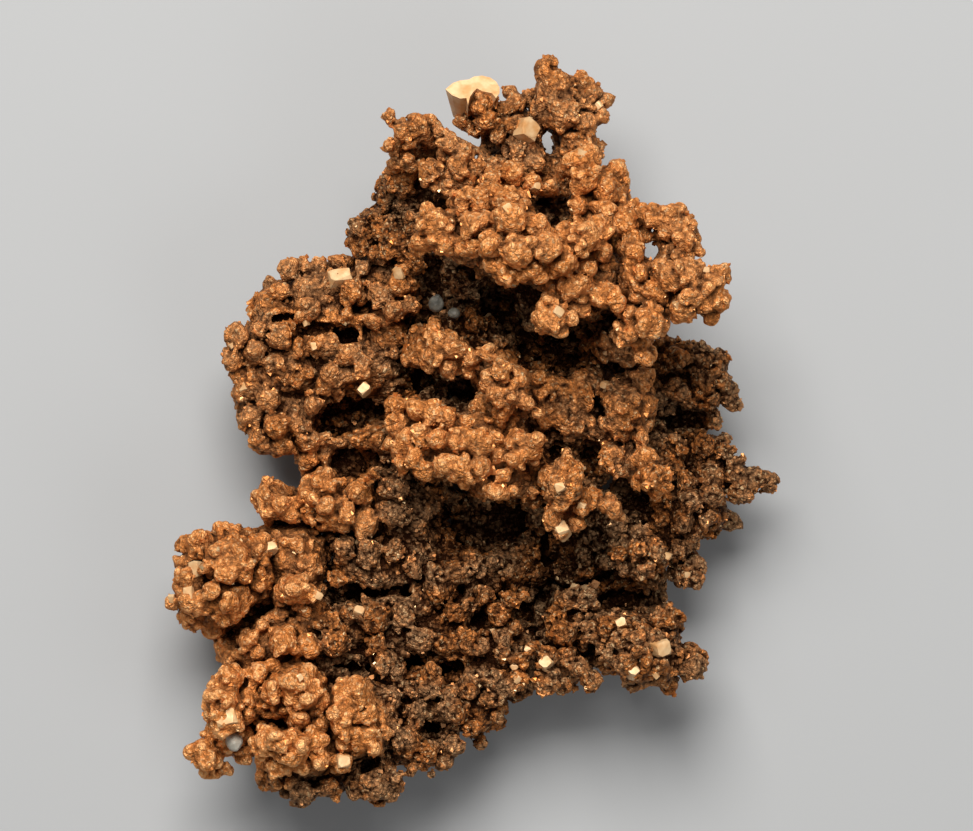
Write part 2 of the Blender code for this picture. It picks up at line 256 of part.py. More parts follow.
        (7.5, -25.3, 12.0, 1.6), (9.3, -25.7, 11.5, 1.4), (10.5, -24.0, 11.5, 1.5),
        (12.0, -25.0, 11.5, 1.4), (9.8, -22.5, 11.0, 1.2), (16.5, -22.5, 14.5, 2.9),
        (18.6, -21.6, 16.5, 1.2), (14.8, -21.0, 16.0, 1.3), (17.2, -23.4, 17.0, 0.9),
        (18.2, -19.1, 13.5, 1.3), (19.6, -18.9, 13.0, 1.3), (20.7, -19.4, 12.0, 0.7),
        (22.0, -23.7, 11.5, 1.8), (13.6, -22.6, 15.0, 1.1), (18.8, -24.4, 13.5, 1.3),
        (16.0, -25.3, 13.0, 1.2), (13.6, -25.6, 10.5, 1.2), (19.8, -25.4, 11.0, 1.1),
        (16.6, -20.6, 17.0, 1.3), (15.4, -23.2, 17.0, 1.3), (18.3, -23.5, 16.2, 1.2),
        (16.6, -22.0, 17.6, 1.2), (17.6, -20.2, 15.8, 1.1),
    ],
    "right_flank": [
        (20.5, 7.2, 11.5, 1.5), (19.2, 6.4, 11.0, 1.5), (21.3, 8.3, 10.5, 0.7), (23.0, 7.0, 10.5, 1.4),
        (24.7, 7.4, 9.5, 0.9), (20.5, 4.2, 12.0, 1.8), (23.0, 4.6, 11.5, 1.8), (25.1, 4.6, 10.5, 1.2),
        (26.2, 4.2, 10.0, 0.8), (25.9, 3.1, 10.5, 0.9), (24.0, 3.2, 11.5, 1.1), (21.6, 3.1, 11.5, 1.0),
        (24.2, 1.0, 9.0, 1.2), (21.6, 8.5, 10.5, 0.9), (19.0, 8.3, 10.0, 1.0), (20.4, -0.6, 11.5, 1.2),
        (21.0, -1.9, 11.5, 1.1), (23.5, -1.5, 10.5, 1.6), (25.2, -2.0, 10.0, 1.5), (26.3, -3.3, 10.0, 1.4),
        (28.2, -4.3, 9.5, 1.2), (29.8, -5.1, 9.5, 1.3), (27.5, -5.4, 10.0, 1.3), (26.3, -6.4, 10.0, 1.4),
        (23.8, -4.5, 11.0, 1.7), (21.7, -5.3, 11.0, 1.4), (24.0, -6.6, 11.5, 1.8), (22.0, -7.2, 12.0, 1.8),
        (23.6, -8.8, 11.5, 1.5), (21.0, -9.0, 12.0, 1.7), (22.0, -11.0, 11.0, 1.6),
        (20.5, -12.0, 10.5, 1.4), (21.6, -14.6, 10.0, 1.4), (22.5, -13.6, 9.5, 0.8), (26.3, -9.2, 6.5, 1.3),
        (27.3, -9.8, 6.5, 0.9), (19.2, -8.9, 12.5, 1.2), (14.7, -12.3, 15.5, 1.3), (16.3, -12.0, 16.5, 1.5),
        (18.3, -12.1, 16.0, 1.4), (19.3, -12.9, 15.0, 0.8), (17.2, -13.7, 16.0, 1.3),
        (18.5, -10.9, 15.0, 0.8), (15.0, -13.7, 14.5, 1.1), (14.8, -15.9, 10.0, 1.1),
        (18.5, -15.9, 10.0, 0.9), (16.5, -10.3, 14.0, 1.2),
    ],
    "floor_of_the_hollows": [
        (0.4, 11.4, 14.5, 1.3), (-1.2, 14.6, 14.5, 1.4), (3.6, 12.9, 16.5, 1.2), (11.2, -12.4, 8.5, 1.5),
        (9.0, -14.6, 8.5, 1.2), (11.2, -14.3, 8.5, 1.0), (13.2, -13.2, 9.5, 1.3), (6.4, -16.9, 7.5, 0.9),
        (-2.4, 3.2, 14.5, 1.1), (12.2, -10.6, 10.5, 1.3),
    ],
}

# Slots between the knobs, open upwards: x and y of each end, radius, height of the bottom (-9 goes through).
SLOTS = [
    (-14.2, 1.4, -9.8, 2.1, 1.15, 6.5), (-6.3, 5.1, -5.0, 4.6, 1.15, 7.5),
    (-5.0, 4.5, -0.7, 3.4, 0.75, 9.0), (-4.0, 15.2, -3.7, 14.4, 1.1, 8.5), (1.6, 13.2, 4.4, 10.3, 1.2, 7.5),
    (4.4, 10.3, 6.1, 8.3, 1.15, 7.5), (6.1, 8.2, 9.3, 7.4, 1.2, 8.0), (9.3, 7.6, 10.7, 9.3, 0.8, 10.0),
    (10.7, 9.6, 13.5, 11.0, 0.6, 13.0), (4.4, 13.7, 6.6, 14.0, 0.6, 17.0),
    (6.8, 22.2, 8.3, 21.0, 0.9, 13.0), (-6.8, 28.0, -4.2, 27.6, 0.45, 17.0),
    (1.5, 28.9, 2.6, 27.8, 0.75, 14.5), (-5.4, 24.8, -2.9, 22.3, 0.45, 15.0),
    (7.5, 29.3, 7.7, 28.3, 0.55, -9.0), (-1.6, -9.3, 3.6, -9.3, 1.7, 5.0), (0.8, -8.6, 4.6, -8.4, 1.2, 5.5),
    (-2.0, -10.8, 0.5, -11.2, 0.8, 6.0), (5.2, -18.4, 6.6, -17.2, 1.2, 3.5),
    (7.4, -13.4, 7.6, -11.8, 0.6, 4.0), (11.1, -2.2, 12.0, -4.4, 0.55, 11.0),
    (12.2, -4.8, 15.0, -5.6, 0.6, 11.0), (15.9, -6.8, 17.0, -7.6, 0.95, 8.5),
    (13.6, -17.1, 19.0, -17.0, 0.6, 5.0), (19.5, 1.3, 23.4, 1.4, 0.7, 6.0),
    (17.75, 17.8, 17.9, 18.0, 0.55, -9.0), (-2.7, 30.8, 0.4, 28.9, 0.35, -9.0),
    (-12.0, -16.2, -10.8, -16.4, 0.8, 6.0), (-10.6, -16.5, -6.8, -16.1, 0.4, 7.0),
    (-1.6, -16.9, -1.2, -15.9, 0.5, 5.0), (0.7, -19.0, 1.0, -18.6, 0.7, 5.0),
    (-6.8, -23.6, -5.8, -23.3, 0.7, 5.0), (-3.0, -24.0, -1.8, -23.7, 0.8, 5.0),
    (-14.0, -23.7, -10.7, -23.9, 0.45, 7.0), (-4.3, -30.3, -3.8, -30.4, 0.6, 8.0),
    (12.1, -22.2, 12.1, -22.9, 0.5, 8.0), (-10.6, -33.5, -10.0, -33.3, 0.7, 9.5),
    (-21.2, -28.8, -18.8, -29.4, 0.35, 12.0), (-18.6, -18.6, -18.5, -18.5, 0.55, 10.0),
    (-13.2, 9.6, -12.6, 9.4, 0.6, 8.0), (-19.8, 11.3, -17.8, 11.4, 0.3, 9.0),
    (-17.4, 9.9, -14.5, 10.1, 0.25, 9.5), (-11.5, 12.2, -10.3, 12.2, 0.4, 10.0),
    (-13.5, -3.4, -12.3, -3.6, 0.6, 7.5), (-10.0, -2.8, -8.6, -3.2, 0.6, 9.0),
    (-24.4, -20.3, -20.6, -17.6, 0.45, 8.5), (-3.8, -5.9, -2.6, -5.9, 0.55, 14.0),
]

# Knobs of the back that carry the nugget on the table: x, y, radius.
FEET = [
    (-20.5, -25.0, 3.6), (15.0, -20.0, 3.4), (20.0, -3.5, 3.2), (-17.0, 9.5, 3.6), (6.0, 24.0, 3.6),
    (0.5, -2.0, 3.6),
]

# Knobs scattered over the back: how many places are tried, and their smallest and largest radius.
BACK_TRIES, BACK_RADII = 420, (1.1, 2.4)

# Bright crystals with flat faces: x, y, z, half-sizes along their own axes, turn about X, Y and Z in degrees.
CRYSTALS = {
    "block_by_the_crown": (5.4, 30.0, 18.6, (1.1, 1.0, 0.9), (-25, 20, -28)),
    "plate_on_the_wing": (-13.4, 15.4, 14.2, (1.1, 0.75, 0.8), (-30, 8, 12)),
    "chip_by_the_spur": (-7.4, 15.9, 15.6, (0.55, 0.6, 0.6), (20, -20, 15)),
    "wedge_over_the_pit": (-10.9, 4.1, 16.3, (0.8, 0.7, 0.7), (-18, 12, 40)),
    "left_lobe_upper": (-27.7, -13.9, 14.9, (0.6, 0.8, 0.6), (-10, -30, 20)),
    "left_lobe_lower": (-28.3, -16.5, 15.8, (0.6, 0.75, 0.7), (-20, -25, 18)),
    "shelf_chip": (-20.5, -11.8, 14.6, (0.9, 0.5, 0.7), (-25, 5, 10)),
    "bed_chip": (-11.6, -18.2, 13.4, (0.6, 0.45, 0.6), (-30, 10, -15)),
    "hanging_tip": (8.9, -9.9, 20.9, (0.85, 0.8, 0.9), (-28, 10, 35)),
    "foot_hexagon": (-24.5, -28.6, 18.6, (1.2, 1.0, 0.8), (-18, -8, 15)),
    "foot_cube": (-13.0, -33.4, 17.4, (1.2, 1.1, 0.9), (-12, 10, 5)),
    "corner_wedge": (7.3, -23.4, 13.2, (0.7, 0.65, 0.6), (-20, 15, 42)),
    "boss_square": (15.8, -23.9, 16.9, (1.0, 0.7, 0.8), (-20, -12, -45)),
    "boss_crystal": (18.7, -21.7, 17.0, (0.95, 0.95, 0.9), (10, 25, 20)),
    "boss_chip": (14.9, -19.4, 14.2, (0.55, 0.5, 0.6), (-25, 0, 20)),
}

# The broken stub of the top edge: its middle, radii at the bottom and at the break, length and lean.
STUB_MIDDLE, STUB_RADII, STUB_LENGTH, STUB_LEAN = (-0.1, 33.2, 17.6), (1.5, 2.5), 3.4, (-52, -3, 0)
STUB_SIDES = 9

# Mineral grains caught in the copper: x, y, z, radius, squash and seed of their broken shape.
GRAINS = {
    "quartz_grain": (-23.9, -31.1, 16.3, 1.1, (0.9, 1.0, 0.9), 3),
    "grey_grain_large": (-3.75, 12.75, 16.2, 1.0, (0.9, 1.0, 0.9), 5),
    "grey_grain_small": (-1.9, 11.8, 15.8, 0.72, (1.0, 0.85, 0.9), 8),
}

COPPER_LOOK = ((0.30, 0.135, 0.062), 0.42, 0.85)
QUARTZ_LOOK = ((0.62, 0.64, 0.62), 0.25, 0.0)
GREY_LOOK = ((0.23, 0.25, 0.24), 0.6, 0.0)


def grid_axes():
    """Grid coordinates along X, Y and Z that hold the whole nugget."""
    low = np.array([-WIDTH / 2, -LENGTH / 2, -1.0]) - GRID_MARGIN
    high = np.array([WIDTH / 2, LENGTH / 2, THICKNESS]) + GRID_MARGIN
    return [np.arange(a, b, GRID_STEP) for a, b in zip(low, high)]


def block_round(axes, middle, reach):
    """Slices of the grid within reach of a point, and the coordinates there, ready to broadcast."""
    cuts = [slice(*np.searchsorted(axis, (c - reach, c + reach))) for axis, c in zip(axes, middle)]
    return tuple(cuts), np.ix_(*(axis[cut] for axis, cut in zip(axes, cuts)))


def smooth_least(a, b, width):
    """The smaller of two distances, rounded where they are nearly equal."""
    near = np.maximum(width - np.abs(a - b), 0.0) / width
    return np.minimum(a, b) - near * near * width / 4


def add_ball(field, axes, ball):
    x, y, z, radius = ball
    cut, (gx, gy, gz) = block_round(axes, (x, y, z), radius + 4 * CREASE)
    distance = np.sqrt((gx - x) ** 2 + (gy - y) ** 2 + (gz - z) ** 2) - radius
    field[cut] = smooth_least(field[cut], distance, CREASE)


def take_ball(field, axes, ball):
    x, y, z, radius = ball
    cut, (gx, gy, gz) = block_round(axes, (x, y, z), radius + 4 * CREASE)
    distance = np.sqrt((gx - x) ** 2 + (gy - y) ** 2 + (gz - z) ** 2) - radius
    field[cut] = -smooth_least(-field[cut], distance, CREASE)


def take_slot(field, axes, slot):
    """Cuts a slot with round ends, open upwards, that narrows a little towards its bottom."""
    x0, y0, x1, y1, radius, bottom = slot
    gx, gy, gz = np.ix_(*axes)
    along = ((gx - x0) * (x1 - x0) + (gy - y0) * (y1 - y0)) / ((x1 - x0) ** 2 + (y1 - y0) ** 2)
    along = np.clip(along, 0.0, 1.0)
    side = np.hypot(gx - x0 - along * (x1 - x0), gy - y0 - along * (y1 - y0)) - radius
    np.maximum(field, -np.maximum(side, bottom - gz), out=field)


def foot_ball(foot):
    x, y, radius = foot
    return (x, y, radius - FOOT_SINK, radius)


def build_field(axes):
    """Distance to the copper's surface at each grid point, negative inside."""
    field = np.full([len(axis) for axis in axes], 4 * CREASE)
    for ball in CORE:
        add_ball(field, axes, ball)
    for ball in CHAMBERS:
        take_ball(field, axes, ball)
    for foot in FEET:
        add_ball(field, axes, foot_ball(foot))
    for cluster in KNOBS.values():
        for ball in cluster:
            add_ball(field, axes, ball)
    for ball in back_knobs(field, axes):
        add_ball(field, axes, ball)
    for slot in SLOTS:
        take_slot(field, axes, slot)
    return field


def back_knobs(field, axes):
    """Knobs scattered over the underside, where lines up from the table meet copper, inside the outline."""
    draw = np.random.default_rng(SEED)
    inside = field < 0
    covered = inside.any(axis=2)
    lowest = axes[2][inside.argmax(axis=2)]
    knobs = []
    for _ in range(BACK_TRIES):
        x = draw.uniform(-WIDTH / 2, WIDTH / 2)
        y = draw.uniform(-LENGTH / 2, LENGTH / 2)
        radius = draw.uniform(*BACK_RADII)
        i, j = np.searchsorted(axes[0], x), np.searchsorted(axes[1], y)
        reach = math.ceil(radius / GRID_STEP)
        if covered[max(i - reach, 0):i + reach + 1, max(j - reach, 0):j + reach + 1].all():
            height = max(lowest[i, j] + 0.3 * radius, radius + 0.3)
            knobs.append((x, y, height, radius))
    return knobs


def corners_joined(field):
    """Fills in grid points where copper would meet itself only at an edge or a corner."""
    inside = field < 0
    pairs = [(0, 1), (0, 2), (1, 2)]
    for _ in range(12):
        before = inside.copy()
        for a, b in pairs:
            p00, p10, p01, p11 = (shifted(inside, a, b, i, j) for i, j in ((0, 0), (1, 0), (0, 1), (1, 1)))
            crossed = (p00 == p11) & (p10 == p01) & (p00 != p10)
            for part in (p00, p10, p01, p11):
                part |= crossed
        if (before == inside).all():
            break
    return np.where(inside & (field >= 0), -0.02 * GRID_STEP, field)


def shifted(values, a, b, i, j):
    """A view of values moved by i along axis a and by j along axis b."""
    cut = [slice(None)] * 3
    cut[a] = slice(i, values.shape[a] - 1 + i)
    cut[b] = slice(j, values.shape[b] - 1 + j)
    return values[tuple(cut)]


def surface_of(field, axes):
    """Points and quads of the closed surface where the field changes sign: one point in each crossed cell."""
    shape = np.array(field.shape)
    total = np.zeros((field.size, 3))
    count = np.zeros(field.size)
    quads = []
    for a in range(3):
        b, c = (a + 1) % 3, (a + 2) % 3
        step = np.eye(3, dtype=int)
        low = np.moveaxis(field, a, 0)[:-1]
        high = np.moveaxis(field, a, 0)[1:]
        at = np.argwhere((low < 0) != (high < 0))
        where = np.empty_like(at)
        where[:, a] = at[:, 0]
        where[:, [k for k in range(3) if k != a]] = at[:, 1:]
        near = field[tuple(where.T)]
        far = field[tuple((where + step[a]).T)]
        point = where + np.outer(near / (near - far), step[a])
        cells = []
        for shift in (-step[b] - step[c], -step[c], 0 * step[a], -step[b]):
            index = np.ravel_multi_index((where + shift).T, shape)
            cells.append(index)
            for k in range(3):
                total[:, k] += np.bincount(index, point[:, k], field.size)
            count += np.bincount(index, minlength=field.size)
        cells = np.stack(cells, axis=1)
        quads.append(np.where((near < 0)[:, None], cells, cells[:, ::-1]))
    used = np.flatnonzero(count)
    number = np.zeros(field.size, int)
    number[used] = np.arange(len(used))
    points = total[used] / count[used, None]
    low_corner = np.array([axis[0] for axis in axes])
    return points * GRID_STEP + low_corner, number[np.concatenate(quads)]


def look(name, colour, roughness, metallic):
    material = bpy.data.materials.new(name)
    material.use_nodes = True
    shader = material.node_tree.nodes["Principled BSDF"]
    shader.inputs["Base Color"].default_value = (*colour, 1.0)
    shader.inputs["Roughness"].default_value = roughness
    shader.inputs["Metallic"].default_value = metallic
    return material


def new_object(name, mesh, material=None):
    thing = bpy.data.objects.new(name, mesh)
    bpy.context.scene.collection.objects.link(thing)
    if material:
        mesh.materials.append(material)
    return thing


def helper(name, mesh):
    """An object that only cuts or joins another, and isn't part of the nugget."""
    thing = new_object(name, mesh)
    thing.hide_render = True
    thing.display_type = "WIRE"
    return thing


def add_crystal(shape, spec):
    """A block with cut-off corners, so that it has square and triangular faces."""
    x, y, z, half, turn = spec
    corners = []
    for sx in (-1, 1):
        for sy in (-1, 1):
            for sz in (-1, 1):
                for held in range(3):
                    corner = Vector((sx * half[0], sy * half[1], sz * half[2]))
                    corner[held] *= 0.55
                    corners.append(corner)
    place = Matrix.Translation((x, y, z)) @ Euler([math.radians(t) for t in turn]).to_matrix().to_4x4()
    points = [shape.verts.new((place @ corner) * MM) for corner in corners]
    bmesh.ops.convex_hull(shape, input=points)


def crystal_mesh():
    shape = bmesh.new()
    for spec in CRYSTALS.values():
        add_crystal(shape, spec)
    lean = Euler([math.radians(t) for t in STUB_LEAN]).to_matrix().to_4x4()
    bmesh.ops.create_cone(
        shape, cap_ends=True, segments=STUB_SIDES, radius1=STUB_RADII[0] * MM, radius2=STUB_RADII[1] * MM,
        depth=STUB_LENGTH * MM, matrix=Matrix.Translation(Vector(STUB_MIDDLE) * MM) @ lean,
    )
    bmesh.ops.recalc_face_normals(shape, faces=shape.faces)
    mesh = bpy.data.meshes.new("crystals")
    shape.to_mesh(mesh)
    return mesh


def grain_mesh(name, spec, swell):
    """A broken mineral grain: a ball whose points are pulled in or out, then wrapped in flat faces."""
    x, y, z, radius, squash, seed = spec
    draw = np.random.default_rng(seed)
    shape = bmesh.new()
    bmesh.ops.create_icosphere(shape, subdivisions=1, radius=1.0)
    for vert in shape.verts:
        reach = radius * draw.uniform(0.82, 1.08) + swell
        vert.co = Vector([x + vert.co.x * reach * squash[0], y + vert.co.y * reach * squash[1],
                          z + vert.co.z * reach * squash[2]]) * MM
    hull = bmesh.ops.convex_hull(shape, input=shape.verts)
    bmesh.ops.delete(shape, geom=hull["geom_interior"], context="VERTS")
    bmesh.ops.recalc_face_normals(shape, faces=shape.faces)
    mesh = bpy.data.meshes.new(name)
    shape.to_mesh(mesh)
    return mesh


def table_mesh():
    """A slab under the table's surface, which wears the resting knobs flat."""
    shape = bmesh.new()
    size = (2 * WIDTH * MM, 2 * LENGTH * MM, 20 * MM)
    place = Matrix.Translation((0, 0, -size[2] / 2))
    bmesh.ops.create_cube(shape, matrix=place @ Matrix.Diagonal((*size, 1)))
    mesh = bpy.data.meshes.new("table")
    shape.to_mesh(mesh)
    return mesh


def boolean(thing, operation, other):
    modifier = thing.modifiers.new(other.name, "BOOLEAN")
    modifier.operation = operation
    modifier.object = other


def thinned(points, quads):
    """The surface with fewer triangles: flat places lose most, knobs and edges least."""
    mesh = bpy.data.meshes.new("full surface")
    mesh.from_pydata(points * MM, [], quads)
    thing = helper("full surface", mesh)
    thin = thing.modifiers.new("fewer triangles", "DECIMATE")
    thin.ratio = COPPER_TRIANGLES / (2 * len(quads))
    thin.use_collapse_triangulate = True
    result = bpy.data.meshes.new_from_object(thing.evaluated_get(bpy.context.evaluated_depsgraph_get()))
    bpy.data.objects.remove(thing)
    result.name = "copper_nugget"
    return result


def shells_of(shape):
    """Groups of faces joined along edges."""
    left = set(shape.faces)
    shells = []
    while left:
        todo = [left.pop()]
        shell = []
        while todo:
            face = todo.pop()
            shell.append(face)
            for edge in face.edges:
                for other in edge.link_faces:
                    if other in left:
                        left.remove(other)
                        todo.append(other)
        shells.append(shell)
    return shells


def keep_largest_shell(mesh):
    """Takes away loose crumbs and sealed bubbles."""
    shape = bmesh.new()
    shape.from_mesh(mesh)
    shells = sorted(shells_of(shape), key=len)
    for shell in shells[:-1]:
        bmesh.ops.delete(shape, geom=shell, context="FACES")
    shape.to_mesh(mesh)


def make_copper():
    axes = grid_axes()
    mesh = thinned(*surface_of(corners_joined(build_field(axes)), axes))
    keep_largest_shell(mesh)
    copper = new_object("copper_nugget", mesh, look("patinated_copper", *COPPER_LOOK))
    boolean(copper, "UNION", helper("crystals", crystal_mesh()))
    for name, spec in GRAINS.items():
        socket = grain_mesh(name + "_socket", spec, SOCKET_GAP)
        boolean(copper, "DIFFERENCE", helper(name + "_socket", socket))
    boolean(copper, "DIFFERENCE", helper("table", table_mesh()))


def make_grains():
    looks = {"quartz": look("quartz", *QUARTZ_LOOK), "grey": look("grey_stone", *GREY_LOOK)}
    for name, spec in GRAINS.items():
        new_object(name, grain_mesh(name, spec, 0.0), looks[name.split("_")[0]])


def main():
    for thing in list(bpy.data.objects):
        bpy.data.objects.remove(thing)
    make_copper()
    make_grains()


main()
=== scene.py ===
"""Looks of the native copper nugget: the solid's knobs again, grown over with finer lumps, pits and crystals.

Lengths in the tables are millimetres in the row's frame: the nugget lies on its back on Z = 0, and the
camera looks straight down on it. The copper is one distance field: a core, chambers taken out of it, the
knobs that grow on it, slots between them, then finer lumps, pits and wrinkles all over. Its surface is shown
as four pieces, each a band of Y. On it sit some 18,000 small flat-faced grains, a few larger crystals, and
the broken stub of the top edge.
"""

import math

import bmesh
import bpy
import numpy as np
from mathutils import Euler, Matrix, Vector


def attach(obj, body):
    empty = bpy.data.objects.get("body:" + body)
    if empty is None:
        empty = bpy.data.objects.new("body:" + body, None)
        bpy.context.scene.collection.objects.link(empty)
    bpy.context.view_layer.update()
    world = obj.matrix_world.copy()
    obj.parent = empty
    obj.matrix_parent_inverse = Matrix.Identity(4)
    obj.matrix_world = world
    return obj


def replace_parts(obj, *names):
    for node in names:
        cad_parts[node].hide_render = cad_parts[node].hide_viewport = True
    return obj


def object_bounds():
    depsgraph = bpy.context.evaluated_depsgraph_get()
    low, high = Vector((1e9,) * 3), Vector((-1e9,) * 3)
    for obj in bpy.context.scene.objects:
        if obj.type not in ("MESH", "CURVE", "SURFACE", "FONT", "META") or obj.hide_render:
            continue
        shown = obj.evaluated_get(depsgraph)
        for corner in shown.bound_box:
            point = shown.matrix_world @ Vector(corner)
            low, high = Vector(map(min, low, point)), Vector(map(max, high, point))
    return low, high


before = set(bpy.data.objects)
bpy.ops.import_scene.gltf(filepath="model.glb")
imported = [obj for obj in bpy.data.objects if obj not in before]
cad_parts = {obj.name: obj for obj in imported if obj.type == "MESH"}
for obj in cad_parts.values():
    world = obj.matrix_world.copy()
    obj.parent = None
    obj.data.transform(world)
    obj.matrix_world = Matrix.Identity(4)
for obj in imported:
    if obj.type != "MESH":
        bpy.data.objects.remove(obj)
CAD_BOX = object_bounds()

MM = 0.001

# The photograph's frame, in pixels, and its scale in millimetres to a pixel.
PICTURE_WIDTH, PICTURE_HEIGHT = 973, 831
MM_PER_PIXEL = 0.1
ORIGIN_PIXEL = (473, 431)  # where the nugget's origin is in the photograph
CAMERA_HEIGHT = 700.0
FACE_HEIGHT = 17.0  # height at which the scale holds

GRID_STEP = 0.2
GRID_MARGIN = 1.5
COPPER_BANDS = 4
COPPER_TRIANGLES = 740000
CREASE = 0.45  # how far a crease between two knobs is rounded
FINE_CREASE = 0.1  # the same between finer lumps
ALLOWANCE = 0.3  # what the knobs give up for the finer lumps that grow on them
SLOT_REACH = 4.0  # how far from a slot's middle line the field is changed
SLOT_CREASE = 0.8  # how far a slot's rim is rounded
SLOT_WOBBLE, SLOT_WAVE = 0.7, 2.0  # how far a slot's walls stray from straight, and over what length
SLOT_GROWTH = 0.1  # what a slot is widened by, for the finer lumps on its walls
BOX_CLEARANCE = 0.05
FOOT_SINK = 0.4  # how far a resting knob's ball reaches below the table, which wears it flat
NOISE_SPAN = 2.2  # brings the blended noise back to about -1 to 1
SEED = 29

